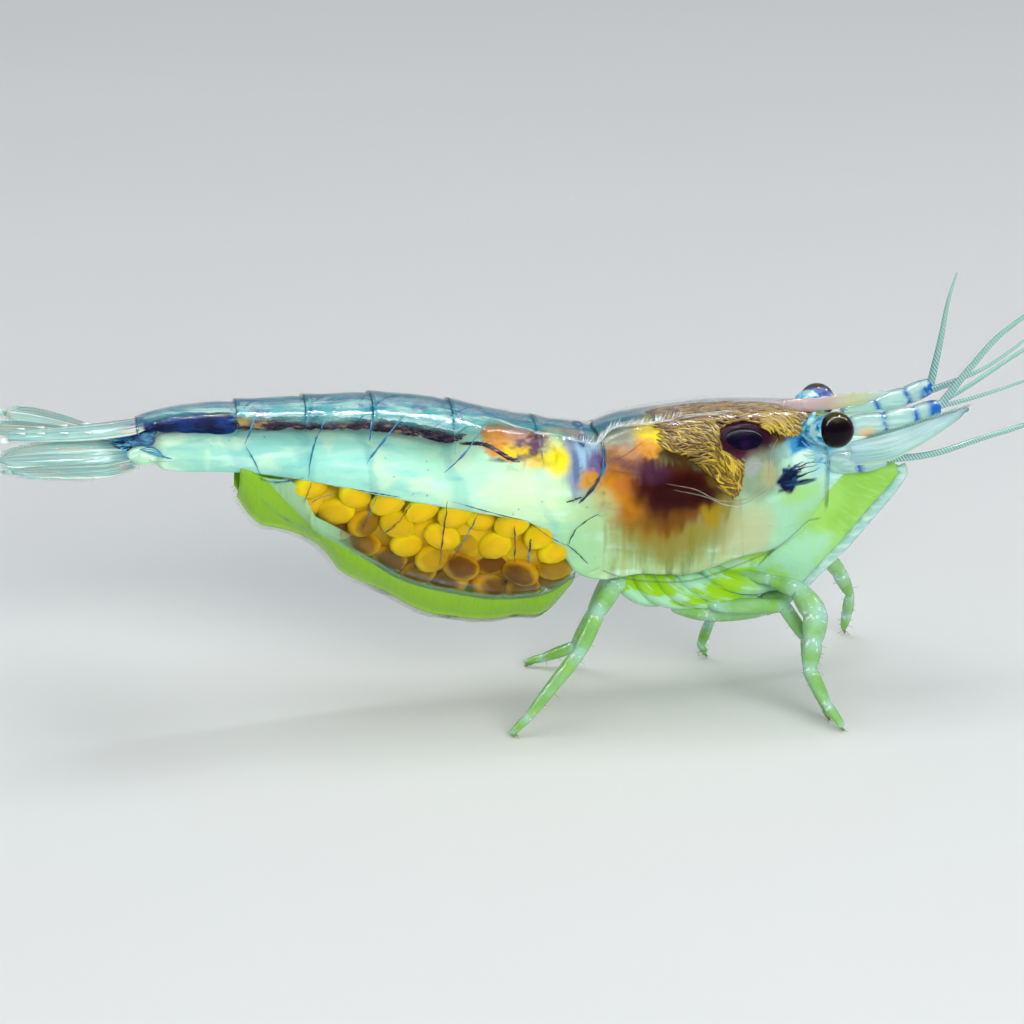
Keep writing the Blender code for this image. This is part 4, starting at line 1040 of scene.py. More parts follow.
for side, hand in SIDES.items():
    middle = Vector((EYE_CENTRE.x, EYE_CENTRE.y * hand, EYE_CENTRE.z))
    for name, radius, finish, stands_for in (
        ("eye_globe", EYE_RADIUS - CORNEA_DEPTH, eye, [f"eye_{side}"]),
        ("cornea", EYE_RADIUS, cornea, []),
    ):
        bm = new_bmesh()
        bmesh.ops.create_uvsphere(bm, u_segments=48, v_segments=32, radius=radius)
        bmesh.ops.translate(bm, vec=middle, verts=bm.verts)
        finished(f"{name}_{side}", bm, finish, "eye", *stands_for)
    bm = new_bmesh()
    path = through(
        [
            (6.4, 0.4 * hand, 8.62), (6.75, 0.8 * hand, 8.76),
            (7.02, 1.12 * hand, 8.87), (7.2, 1.3 * hand, 8.93),
        ],
        5,
    )
    add_tube(bm, path, [0.34 + 0.17 * smooth(k / 15, 0, 0.9) for k in range(16)], 20)
    arc = []
    for k in range(13):
        turn = math.radians(140 + 96 * k / 12)
        arc.append(middle + Vector((0.74 * math.cos(turn), -0.42 * hand, 0.72 * math.sin(turn))))
    add_tube(bm, arc, swell(0.04, 0.1, 12), 12)
    for strand in range(BLUE_STREAKS):
        low, high = random.uniform(0.28, 0.42), random.uniform(-0.04, 0.04)
        route = [
            (random.uniform(6.3, 6.9), low), (7.1, 0.44 + high), (7.45, 0.56 + high),
            (random.uniform(7.6, 8.1), 0.7 + high),
        ]
        path = through([FLESH.place(x, t, hand, 0.03) for x, t in route], 4)
        thick = random.uniform(0.3, 1.0)
        add_tube(bm, path, [thick * w for w in swell(0.01, 0.03, 12)], 6, flat=0.6)
    finished(f"eye_stalk_{side}", bm, stalk, "pigment", f"eyestalk_{side}")

# The head's two pairs of feelers have jointed, glassy stalks. The upper pair ends in two whips each,
# and the lower pair carries a broad clear scale and one long whip. Blue skin shows at the joints.
LIMB_SHAPE = ((0, 0.84), (0.05, 0.94), (0.2, 1.0), (0.45, 1.05), (0.65, 1.04), (0.85, 0.98), (0.95, 0.9))


def add_limb(bm, joints, radii, sides=14, flat=1.0):
    """Adds a jointed limb as one skin, waisted at each joint. The attribute joint is 1 there."""
    joint = bm.verts.layers.float.get("joint") or bm.verts.layers.float.new("joint")
    path, widths = [], []
    for a, b, ra, rb in zip(joints, joints[1:], radii, radii[1:]):
        for share, size in LIMB_SHAPE:
            path.append(Vector(a).lerp(Vector(b), share))
            widths.append((ra + (rb - ra) * share) * size)
    path.append(Vector(joints[-1]))
    widths.append(radii[-1] * 0.6)
    for vert in add_tube(bm, path, widths, sides, flat):
        vert[joint] = max(
            smooth((vert.co - Vector(j)).length, 1.35 * r + 0.06, 0.5 * r) for j, r in zip(joints, radii)
        )


def mirrored(points, hand):
    """Points given for her left, on the side that hand says."""
    return [(x, y * hand, z) for x, y, z in points]


glassy = Finish("glassy stalk")
near_joint = glassy.attribute("joint")
ribs = glassy.noise(1.0, 3.0, stretch=(0.5, 5, 5))
tone = glassy.mix(glassy.step(ribs, 0.4, 0.65), (0.38, 0.68, 0.62), (0.60, 0.86, 0.80))
blue = glassy.step(near_joint, 0.3, 0.75) * glassy.step(glassy.noise(2.4, 3.0), 0.35, 0.52)
blue = blue.most(glassy.step(glassy.x, 10.3, 10.55) * glassy.step(glassy.noise(3.0, 3.0), 0.3, 0.5))
tone = glassy.mix(blue, tone, (0.004, 0.13, 0.50))
warm = glassy.oval((8.45, 8.65), (0.3, 0.16), 0.4, glassy.wobbled((0.3, 0.3, 0.3), 4.0))
tone = glassy.mix(warm, tone, (0.86, 0.66, 0.40))
glassy.surface(tone, roughness=0.1, alpha=0.78 + blue * 0.2, height=ribs, depth=0.04, shine=0.08)
whip = Finish("ringed whip")
rings = whip.t.maths("SINE", (whip.x + whip.z * 0.7) * 60)
tone = whip.layered(
    (0.13, 0.32, 0.36),
    (whip.step(rings, -0.4, 0.5), (0.38, 0.62, 0.54)),
    (whip.step(whip.t, 0.0, 0.6) * 0.7, (0.26, 0.54, 0.42)),
)
whip.surface(tone, roughness=0.25, Coat_Weight=0.5, Subsurface_Weight=0.1, Subsurface_Scale=0.2 * MM)
LIFTS = {"right": 0.0, "left": 0.34}  # how much higher the tip of that upper stalk is held
OUTER_WHIPS = {
    "right": [(10.8, 0.6, 9.3), (11.69, 0.6, 10.45), (12.7, 0.8, 11.7), (14.2, 1.4, 12.9), (16, 2.3, 13.6)],
    "left": [(10.78, 0.58, 9.6), (11.07, 0.64, 11.04), (11.32, 0.82, 12.28), (11.62, 1.05, 13.1)],
}
INNER_WHIPS = {
    "right": [(10.75, 0.42, 9.2), (12.2, 0.3, 9.5), (13.9, 0.5, 10.1), (15.8, 1.1, 10.9)],
    "left": [(10.78, 0.36, 9.56), (12.4, 0.25, 10.2), (14.0, 0.5, 11.2), (15.6, 1.2, 12.2)],
}
LONG_WHIP = [
    (8.9, 1.42, 7.93), (10.4, 1.7, 8.15), (12.3, 2.2, 8.9), (14.8, 3.3, 9.9), (17.6, 5.0, 10.1),
    (20.2, 7.4, 9.2),
]
for side, hand in SIDES.items():
    lift = LIFTS[side]
    joints = [
        (8.0, 0.5, 8.7), (9.08, 0.58, 8.86 + 0.3 * lift), (10.03, 0.6, 9.06 + 0.7 * lift),
        (10.82, 0.56, 9.28 + lift),
    ]
    bm = new_bmesh()
    add_limb(bm, mirrored(joints, hand), (0.37, 0.35, 0.31, 0.26), 18)
    finished(f"antennule_stalk_{side}", bm, glassy, "shell", f"antennule_{side}")
    for kind, route, thick in (
        ("outer", OUTER_WHIPS[side], 0.12),
        ("inner", INNER_WHIPS[side], 0.075),
        ("long", LONG_WHIP, 0.11),
    ):
        bm = new_bmesh()
        path = through(mirrored(route, hand), 90)
        last = len(path) - 1
        add_tube(bm, path, [thick * (1 - 0.8 * k / last) * (1 + 0.07 * (k % 3)) for k in range(last + 1)], 8)
        stands_for = f"whip_{side}" if kind == "long" else f"feeler_{kind}_{side}"
        finished(f"whip_{kind}_{side}", bm, whip, "feeler", stands_for)
    bm = new_bmesh()
    joints = mirrored([(7.3, 0.8, 7.75), (8.2, 1.2, 7.78), (9.0, 1.44, 7.95)], hand)
    add_limb(bm, joints, (0.38, 0.34, 0.22), 18)
    finished(f"antenna_root_{side}", bm, glassy, "shell", f"antenna_base_{side}")

# The scale of the lower feeler is a thin leaf of clear shell, stiffened by fine ribs along it. It is
# hinged beside the root of the long whip, and its inner edge has a fringe of bristles.


def add_leaf(bm, front, rear, bulge, across=16, along_it=60, end=0.0):
    """Adds a leaf between two smooth edges. bulge pushes its middle out, end rounds its tip off."""
    fronts, rears = through(front, 12), through(rear, 12)
    crown = Vector(bulge)

    def at(edge, t):
        i = min(int(t * (len(edge) - 1)), len(edge) - 2)
        return edge[i].lerp(edge[i + 1], t * (len(edge) - 1) - i)

    def place(s, t):
        a, b = at(fronts, t), at(rears, t)
        middle = (a + b) / 2
        narrow = 1 - end * smooth(t, 0.86, 1.0) ** 2
        return middle.lerp(a.lerp(b, s), narrow) + crown * 4 * s * (1 - s)

    return add_sheet(bm, across, along_it, place)


scale = Finish("antenna scale")
lines = scale.noise(1.0, 3.0, where=scale.uv, stretch=(26, 1.6, 1))
hem = scale.step(scale.s, 0.05, 0.015)
tone = scale.layered(
    (0.27, 0.56, 0.52),
    (scale.step(lines, 0.35, 0.65), (0.50, 0.78, 0.72)),
    (scale.step(scale.noise(0.7, 2.0), 0.45, 0.7) * 0.6, (0.40, 0.70, 0.80)),
    (hem, (0.55, 0.74, 0.40)),
    (scale.step(scale.t, 0.86, 0.97) * 0.5, (0.16, 0.34, 0.46)),
)
see_through = (0.66 + hem * 0.25) * scale.step(scale.t, 0.0, 0.08)
scale.surface(tone, roughness=0.1, alpha=see_through, height=lines, depth=0.03, shine=0.08)
SCALE_WALL = 0.06
SCALE_OUTER = [(7.55, 1.3, 7.72), (8.9, 1.75, 7.98), (9.8, 1.75, 8.36), (10.7, 1.6, 8.85), (11.6, 1.28, 9.32)]
SCALE_INNER = [(7.75, 0.9, 8.35), (8.9, 0.95, 8.6), (9.8, 1.0, 8.86), (10.7, 1.05, 9.14), (11.5, 1.12, 9.36)]
random.seed(23)
for side, hand in SIDES.items():
    bm = new_bmesh()
    add_leaf(bm, mirrored(SCALE_OUTER, hand), mirrored(SCALE_INNER, hand), (0, 0.12 * hand, 0.12), end=0.85)
    finished(f"antenna_scale_leaf_{side}", bm, scale, "shell", f"antenna_scale_{side}", wall=SCALE_WALL)
    bm = new_bmesh()
    edge = through(mirrored(SCALE_INNER, hand), 20)
    for k, root in enumerate(edge[12:]):
        tip = root + Vector((0.22 + 0.1 * random.random(), -0.12 * hand, 0.1 + 0.05 * random.random()))
        add_hair(bm, root, tip, (0.02, 0, 0.02), [0.014, 0.01, 0.004])
    finished(f"scale_fringe_{side}", bm, whip, "feeler")

# The jaw legs are held up against the front of the head. Each is a glassy limb with a web of fine
# bristles behind it, and the web glows lime where light comes through.
web = Finish("lime web")
bristles = web.noise(1.0, 3.0, where=web.uv, stretch=(2.2, 34, 1))
cloudy = web.noise(1.0, 3.0, where=web.wobbled((0.5, 0.5, 0.5), 1.5))
fade = web.step(web.t + (cloudy - 0.5) * 0.5, 0.34, 0.16)
tone = web.layered(
    (0.27, 0.58, 0.08),
    (web.step(web.noise(0.8, 2.0), 0.35, 0.65), (0.34, 0.67, 0.14)),
    (web.step(bristles, 0.5, 0.75) * 0.35, (0.50, 0.80, 0.30)),
    (web.step(web.s, 0.14, 0.0), (0.60, 0.86, 0.62)),
    (web.step(web.s, 0.8, 1.0) * 0.7, (0.36, 0.66, 0.42)),
    (fade, (0.36, 0.72, 0.46)),
    (fade * web.step(cloudy, 0.47, 0.58) * 0.85, (0.34, 0.68, 0.08)),
    (web.step(web.s + (cloudy - 0.5) * 0.4, 0.84, 0.98) * 0.7, (0.36, 0.70, 0.42)),
)
web.surface(tone, roughness=0.3, alpha=0.95, height=bristles, depth=0.02, Specular_IOR_Level=0.3)
limb = Finish("green limb")
near_joint = limb.attribute("joint")
blotches = limb.noise(0.8, 4.0, distortion=0.8)
tone = limb.layered(
    (0.22, 0.50, 0.12),
    (limb.step(blotches, 0.35, 0.65), (0.31, 0.62, 0.28)),
    (limb.step(limb.noise(1.0, 3.0), 0.5, 0.66) * 0.8, (0.28, 0.62, 0.03)),
    (limb.step(limb.z, 1.4, 0.3) * 0.6, (0.22, 0.52, 0.05)),
    (near_joint * 0.8, (0.42, 0.74, 0.68)),
)
# Near-white flecks at the joints are painted glints.
painted_glints = limb.step(limb.noise(7.0, 3.0), 0.59, 0.64) * near_joint
tone = limb.mix(painted_glints, tone, (0.92, 0.98, 1.0))
limb.surface(
    tone,
    roughness=0.2,
    alpha=0.86,
    height=blotches + limb.noise(6.0, 3.0) * 0.3,
    depth=0.08,
    Specular_IOR_Level=0.4,
    Subsurface_Weight=0.2,
    Subsurface_Radius=(0.4, 0.7, 0.25),
    Subsurface_Scale=0.2 * MM,
)
WEB_WALL = 0.14
JAW_FRONT = [
    (6.25, 1, 3.35), (6.97, 1.2, 4.3), (7.75, 1.2, 5.1), (8.55, 1.1, 6), (9.2, 1, 6.7), (9.62, 0.9, 7.25),
    (9.55, 0.82, 7.5),
]
JAW_FRINGE = [
    (4.9, 1.0, 4.3), (5.7, 1.2, 5.2), (6.4, 1.05, 6.1), (6.95, 0.92, 6.95), (7.6, 0.88, 7.5),
    (8.5, 0.88, 7.72), (9.2, 0.82, 7.75),
]
for side, hand in SIDES.items():
    bm = new_bmesh()
    add_leaf(bm, mirrored(JAW_FRONT, hand), mirrored(JAW_FRINGE, hand), (0, 0.15 * hand, 0), 18, 80)
    finished(f"jaw_web_{side}", bm, web, "leg", wall=WEB_WALL)
    bm = new_bmesh()
    route = through(mirrored(JAW_FRONT, hand), 8)
    add_tube(bm, route, [w + 0.09 * smooth(k, 40, 47) for k, w in enumerate(swell(0.15, 0.07, 48))], 12, 0.8)
    finished(f"jaw_limb_{side}", bm, glassy, "leg", f"jaw_leg_{side}")

# Two pairs of small clawed legs lie folded under the chest. Their fingers end in tufts of bristles,
# which brush food from whatever she walks on.
CLAW_LEGS = {
    1: ([(5.5, 0.5, 4), (6.3, 0.68, 3.95), (7.05, 0.5, 4.75), (7.6, 0.45, 5.4)], (0.28, 0.3, 0.28, 0.24)),
    2: (
        [(2.5, 0.7, 3.3), (3.6, 0.82, 3.0), (5.3, 0.85, 3.05), (6.15, 0.75, 3.4), (6.4, 0.62, 3.9)],
        (0.36, 0.4, 0.36, 0.3, 0.24),
    ),
}
TUFT = 9  # bristles on each finger
random.seed(29)
for number, (joints, radii) in CLAW_LEGS.items():
    for side, hand in SIDES.items():
        bm = new_bmesh()
        route = [Vector(p) for p in mirrored(joints, hand)]
        add_limb(bm, route, radii)
        ahead = (route[-1] - route[-2]).normalized()
        for spread in (-0.1, 0.1):
            tip = route[-1] + ahead * 0.45 + Vector((0, spread, 0))
            middle = route[-1] + ahead * 0.2 + Vector((0, 1.6 * spread, 0))
            add_tube(bm, [route[-1], middle, tip], [0.1, 0.09, 0.04], 8)
            for _ in range(TUFT):
                end = tip + ahead * random.uniform(0.12, 0.22)
                end += Vector([random.uniform(-0.08, 0.08) for _ in "xyz"])
                add_tube(bm, [tip, end], [0.012, 0.004], 3)
        finished(f"clawed_leg_{number}_{side}", bm, limb, "leg", f"claw_leg_{number}_{side}")

# The legs' broad first lengths are folded flat against the belly, under the edge of the carapace. They
# lap over each other, and light comes through them lime and aqua by turns.
LEG_ROOTS = (
    ((0.75, 0.7, 4.6), (1.0, 1.0, 4.1), (1.6, 1.0, 3.65), (2.4, 0.8, 3.35)),
    ((1.3, 0.8, 4.6), (1.6, 1.15, 4.1), (2.3, 1.15, 3.6), (3.2, 0.9, 3.25)),
    ((1.9, 0.85, 4.55), (2.3, 1.2, 4.05), (3.1, 1.2, 3.58), (4.1, 0.95, 3.25)),
    ((2.6, 0.9, 4.5), (3.1, 1.2, 4.05), (4.0, 1.2, 3.65), (5.0, 0.95, 3.4)),
    ((3.4, 0.9, 4.5), (4.0, 1.15, 4.15), (4.9, 1.1, 3.85), (5.7, 0.9, 3.75)),
)
leg_root = Finish("leg root")
drifts = leg_root.noise(0.9, 3.0, where=leg_root.wobbled((0.6, 0.2, 0.3), 1.5), stretch=(0.7, 1, 1.6))
tufts = leg_root.noise(1.0, 4.0, where=leg_root.uv, stretch=(14, 2.0, 1), distortion=0.6)
tone = leg_root.layered(
    (0.28, 0.60, 0.22),
    (leg_root.step(drifts, 0.4, 0.58), (0.38, 0.74, 0.46)),
    (leg_root.step(drifts + (tufts - 0.5) * 0.7, 0.54, 0.44), (0.30, 0.62, 0.012)),
    (leg_root.step(tufts, 0.54, 0.66) * 0.8, (0.52, 0.82, 0.60)),
    (leg_root.step(tufts, 0.38, 0.28) * 0.8, (0.12, 0.30, 0.06)),
    (leg_root.step(leg_root.x, 4.2, 5.6) * 0.7, (0.36, 0.72, 0.46)),
)
leg_root.surface(tone, roughness=0.2, alpha=0.93, height=tufts, depth=0.08, Specular_IOR_Level=0.4)
for side, hand in SIDES.items():
    bm = new_bmesh()
    for joints in LEG_ROOTS:
        path = through(mirrored(joints, hand), 8)
        widths = [0.24 + 0.26 * math.sin(math.pi * min(1, k / 24 + 0.12)) for k in range(25)]
        add_tube(bm, path, widths, 16, 0.7)
    finished(f"leg_roots_{side}", bm, leg_root, "leg")

# She stands on three pairs of walking legs. Each has seven short lengths, glassy at the joints, and
# ends in a small dark claw with a flat rub where it meets the floor.
WALKING_LEGS = {
    (3, "right"): (
        [
            (4.5, 0.9, 4.2), (5.4, 1.6, 4.2), (6.15, 2.2, 4.05), (6.6, 2.75, 3.45),
            (6.45, 3.1, 2.65), (6.29, 3.4, 1.9), (6.8, 3.75, 0.82), (7.25, 4.02, 0.05),
        ],
        (0.2, 0.22, 0.36, 0.46, 0.36, 0.26, 0.19, 0.13),
    ),
    (3, "left"): (
        [
            (4.3, 0.9, 3.9), (5.9, 1.75, 3.75), (7.89, 2.2, 3.6), (8.54, 2.8, 2.63),
            (9.06, 3.4, 1.59), (9.04, 3.7, 0.86), (9.0, 4.0, 0.05),
        ],
        (0.3, 0.3, 0.26, 0.3, 0.17, 0.2, 0.1),
    ),
    (4, "right"): (
        [
            (2.9, 0.9, 3.8), (3.8, 1.4, 3.35), (5.8, 1.7, 3.35), (6.4, 2.25, 2.45), (6.4, 2.75, 1.4),
            (7, 3.1, 0.05),
        ],
        (0.24, 0.27, 0.27, 0.22, 0.17, 0.1),
    ),
    (4, "left"): (
        [
            (2.9, 0.9, 3.8), (3.8, 1.6, 3.1), (4.5, 2, 2.4), (4.2, 2.3, 1.3), (3.98, 2.5, 0.5),
            (4.15, 2.65, 0.05),
        ],
        (0.3, 0.28, 0.25, 0.18, 0.15, 0.1),
    ),
    (5, "right"): (
        [
            (1.5, 0.6, 4.3), (0.5, 1.3, 4.15), (-0.15, 2.1, 3.6), (-0.8, 2.6, 2.5), (-2.45, 3, 0.6),
            (-2.95, 3.1, 0.05),
        ],
        (0.3, 0.32, 0.28, 0.26, 0.16, 0.1),
    ),
    (5, "left"): (
        [
            (1.5, 0.6, 4.3), (0.75, 1.1, 3.5), (0.35, 1.8, 2.08), (-0.13, 2.2, 0.8), (-1.15, 2.5, 0.33),
            (-1.75, 2.62, 0.05),
        ],
        (0.3, 0.3, 0.25, 0.24, 0.18, 0.08),
    ),
}
claw = Finish("horny claw")
claw.surface(claw.mix(claw.noise(3.0, 2.0), (0.30, 0.42, 0.12), (0.12, 0.14, 0.05)), roughness=0.3)
LEG_HAIRS = 36
random.seed(31)
for (number, side), (joints, radii) in WALKING_LEGS.items():
    hand = SIDES[side]
    route = [Vector(p) for p in mirrored(joints, hand)]
    last = len(route) - 1
    bm = new_bmesh()
    add_limb(bm, route[:-1] + [route[-1] + Vector((0, 0, 0.12))], radii, 16, 0.85)
    for _ in range(LEG_HAIRS):
        piece = random.randint(last - 3, last - 1)
        root = route[piece].lerp(route[piece + 1], random.random())
        out = Vector((random.uniform(-1, 1), random.uniform(-1, 1), random.uniform(-0.4, 0.4))).normalized()
        tip = root + out * (radii[piece] + random.uniform(0.05, 0.14)) + Vector((0, 0, -0.05))
        tip.z = max(tip.z, 0.02)
        add_tube(bm, [root, root.lerp(tip, 0.6), tip], [0.014, 0.011, 0.003], 3)
    finished(f"walking_leg_{number}_{side}_limb", bm, limb, "leg", f"walking_leg_{number}_{side}")
    bm = new_bmesh()
    foot = route[-1]
    heel = foot + (route[-2] - foot).normalized() * 0.32
    toe = Vector((foot.x + 0.06, foot.y, 0.035))
    add_tube(bm, [heel, heel.lerp(foot, 0.6), toe], [0.075, 0.06, 0.03], 10)
    finished(f"foot_claw_{number}_{side}", bm, claw, "leg")

# Under the abdomen she carries a clutch of about a hundred oval eggs, glued into one mass. Fresh
# eggs are clear yellow, and the ones that are further on show an orange-brown yolk, turned outwards inside a
# lighter rim that is painted glow.
EGG_RADIUS = 0.42
EGG_STRETCH = 1.45
EGGS_APART = 1.85 * EGG_RADIUS  # they press into each other a little
MUSCLE_FLOOR = FLESH.edge
CLUTCH_REAR, CLUTCH_FRONT = -8.85, -1.35  # where the middles of its end eggs may lie
GLUE_REAR, GLUE_LENGTH = -9.1, 8.1
COLUMNS, ROWS = 10, 6  # of eggs on each side, before those that miss the clutch are left out
COLUMN_STEP, ROW_STEP = 0.86, 0.62
SETTLING, PUSH = 80, 0.3  # rounds of pushing the eggs apart, and how much of an overlap each takes away
CLUTCH_FLOOR = curve(
    (-11.2, 9.2), (-10.5, 8.35), (-9.4, 6.95), (-8.6, 6.15), (-7.7, 5.6), (-6.0, 4.5), (-4.4, 4.02),
    (-2.9, 3.78), (-1.6, 3.9), (-0.6, 4.5),
)
random.seed(41)
eggs = []
for column in range(COLUMNS):
    for row in range(ROWS):
        for layer, y in enumerate((0.5, 1.3)):
            x = -1.3 - COLUMN_STEP * column + COLUMN_STEP / 2 * (row % 2) + 0.3 * layer
            high, low = MUSCLE_FLOOR(x) - 0.35, CLUTCH_FLOOR(x) + 0.36 + 0.25 * layer
            z = high - ROW_STEP * row
            if z < low - 0.1 or x < -9.3:
                continue
            for hand in (-1, 1):
                jitter = Vector([random.uniform(-0.12, 0.12) for _ in "xyz"])
                eggs.append([Vector((x, y * hand, z)) + jitter, hand, layer])


def confine(place, hand, layer):
    """Keeps an egg under the muscle, over the clutch's floor, inside the side plates and in its layer."""
    x = min(CLUTCH_FRONT, max(CLUTCH_REAR, place.x))
    low = max(CLUTCH_FLOOR(x), CLUTCH_FLOOR(x - 0.5) - 0.1) + EGG_RADIUS - 0.05
    high = max(low, MUSCLE_FLOOR(x) - EGG_RADIUS + 0.2)
    wide = (ABDOMEN.width(x) * 0.9 - EGG_RADIUS) * (0.75 + 0.25 * smooth(place.z - low, 0, 0.9))
    inner = 0.75 * wide if layer else 0.2
    return Vector((x, hand * min(wide, max(inner, abs(place.y))), min(high, max(low, place.z))))


for _ in range(SETTLING):
    for i, (place, hand, layer) in enumerate(eggs):
        push = Vector()
        for j, (other, _, _) in enumerate(eggs):
            apart = place - other
            apart.x /= EGG_STRETCH
            if i != j and apart.length < EGGS_APART:
                push += apart.normalized() * (EGGS_APART - apart.length) * PUSH
        eggs[i][0] = confine(place + push, hand, layer)
egg = Finish("egg")
mood = egg.attribute("ripeness")
yolk = egg.attribute("yolk")
ripe = egg.step(mood, 0.25, 0.75)
skin_tone = egg.mix(ripe, (0.82, 0.67, 0.002), (0.54, 0.29, 0.001))
yolk_tone = egg.mix(ripe, (0.74, 0.48, 0.001), (0.13, 0.042, 0.0004))
# The yolk's colour is real, but it faces outwards so that each egg has a lighter rim: a painted glow of light
# through the egg's edge.
tone = egg.mix(egg.step(yolk + (egg.noise(1.2, 2.0) - 0.5) * 0.3, 0.35, 0.8), skin_tone, yolk_tone)
tone = egg.mix(egg.step(egg.noise(2.5, 3.0), 0.5, 0.8) * 0.15, tone, (0.80, 0.58, 0.002))
egg.surface(
    tone,
    roughness=0.45,
    Specular_IOR_Level=0.2,
    Subsurface_Weight=0.3,
    Subsurface_Radius=(0.8, 0.5, 0.05),
    Subsurface_Scale=0.3 * MM,
)
for side, hand in SIDES.items():
    bm = new_bmesh()
    ripeness, yolk_and_rim_glow_layer = bm.verts.layers.float.new("ripeness"), bm.verts.layers.float.new("yolk")
    for place, egg_hand, _ in eggs:
        if egg_hand != hand:
            continue
        made = bmesh.ops.create_icosphere(bm, subdivisions=2, radius=EGG_RADIUS)["verts"]
        # The yolk is turned outwards, inside the painted rim glow.
        spot = Vector((random.uniform(-0.3, 0.3), hand, random.uniform(-0.15, 0.35))).normalized()
        depth = (MUSCLE_FLOOR(place.x) - place.z) / (MUSCLE_FLOOR(place.x) - CLUTCH_FLOOR(place.x))
        own = depth + random.uniform(-0.2, 0.2)
        for vert in made:
            vert[ripeness] = own
            vert[yolk_and_rim_glow_layer] = vert.co.normalized().dot(spot)
        pitch, yaw = random.uniform(-0.5, 0.5), random.uniform(-0.4, 0.4)
        tilt = Matrix.Rotation(pitch, 4, "Y") @ Matrix.Rotation(yaw, 4, "Z")
        size = Matrix.Diagonal((EGG_STRETCH * random.uniform(0.9, 1.05), 1.0, random.uniform(0.95, 1.08), 1))
        bmesh.ops.transform(bm, matrix=Matrix.Translation(place) @ tilt @ size, verts=made)
    finished(f"eggs_{side}", bm, egg, "egg", *(["egg_clutch"] if side == "right" else []))


def glue_place(s, t):
    """The glue between the eggs: s runs once round its section and t from its rear end to its front."""
    x = GLUE_REAR + GLUE_LENGTH * t
    turn = 2 * math.pi * s
    closing = smooth(min(t, 1 - t), 0, 0.06)
    high, low = MUSCLE_FLOOR(x) + 0.1, CLUTCH_FLOOR(x) + 0.25
    high = max(high, low + 0.1)
    y = (ABDOMEN.width(x) * 0.9 - 0.5) * math.sin(turn) * closing
    return Vector((x, y, (high + low) / 2 + (high - low) / 2 * closing * math.cos(turn)))


bm = new_bmesh()
add_sheet(bm, 40, 90, glue_place)
glue = Finish("egg glue")
tone = glue.mix(glue.step(abs(glue.s * 2 - 1), 0.6, 0.3), (0.66, 0.46, 0.002), (0.26, 0.12, 0.001))
tone = glue.mix(glue.noise(1.5, 3.0) * 0.6, tone, (0.46, 0.28, 0.002))
glue.surface(tone, roughness=0.45, Specular_IOR_Level=0.2)
finished("egg_glue", bm, glue, "egg")

# Five pairs of swimmerets hang from the abdomen and cup the eggs. Each is a thin translucent blade,
# clear where it overlaps the clutch and bright lime at its free edge, with a fringe of bristles.
SPANS = ((-0.7, -2.6), (-2.1, -4.7), (-4.1, -6.9), (-6.2, -8.9), (-8.0, -10.95))
BLADE_WALL = 0.06
SAG = 0.12  # how far the middle of a blade's free edge hangs down
BRISTLES = 70  # along a blade's free edge
LOBE_FLOOR = curve(
    (-11.1, 7.8), (-10.9, 7.3), (-10.35, 6.6), (-9.6, 6.4), (-9.0, 6.15), (-8.3, 5.6), (-7.85, 5.0),
    (-7.0, 4.5), (-6.1, 4.0), (-5.3, 3.55), (-4.5, 3.28), (-3.2, 3.16), (-2.2, 3.2), (-1.6, 3.25),
    (-1.2, 3.5), (-0.7, 4.0),
)
lobe = Finish("lime swimmeret")
ragged_edge = (lobe.noise(1.2, 3.0) - 0.5) * 0.22
behind = lobe.step(lobe.x, -7.4, -8.8)
below_eggs = lobe.attribute("below_eggs") + ragged_edge * 0.6
free = lobe.step(below_eggs, 0.0, 0.16)
border = lobe.step(abs(below_eggs - 0.03), 0.1, 0.03) * lobe.step(lobe.x, -8.0, -7.0)
veil = behind * 0.5 + 0.012
ribs = lobe.noise(1.0, 3.0, where=lobe.uv, stretch=(2, 26, 1))
tone = lobe.layered(
    (0.44, 0.78, 0.46),
    (free, (0.24, 0.50, 0.004)),
    (lobe.step(lobe.s, 0.82, 0.97) * 0.7, (0.40, 0.74, 0.01)),
    (lobe.step(ribs, 0.5, 0.75) * 0.3, (0.14, 0.36, 0.004)),
    (border * 0.7, (0.03, 0.10, 0.012)),
)
opacity = veil + free.most(border * 0.6) * (0.97 - veil)
lobe.surface(tone, roughness=0.25, alpha=opacity, height=ribs, depth=0.04)


def free_edge(x, share, hand):
    """A point of a blade's free edge, this share of the way from its front to its rear."""
    y = (0.75 - 0.25 * smooth(-x, 6, 10)) * hand
    return (x - 0.12, y, LOBE_FLOOR(x) - SAG * math.sin(math.pi * share))


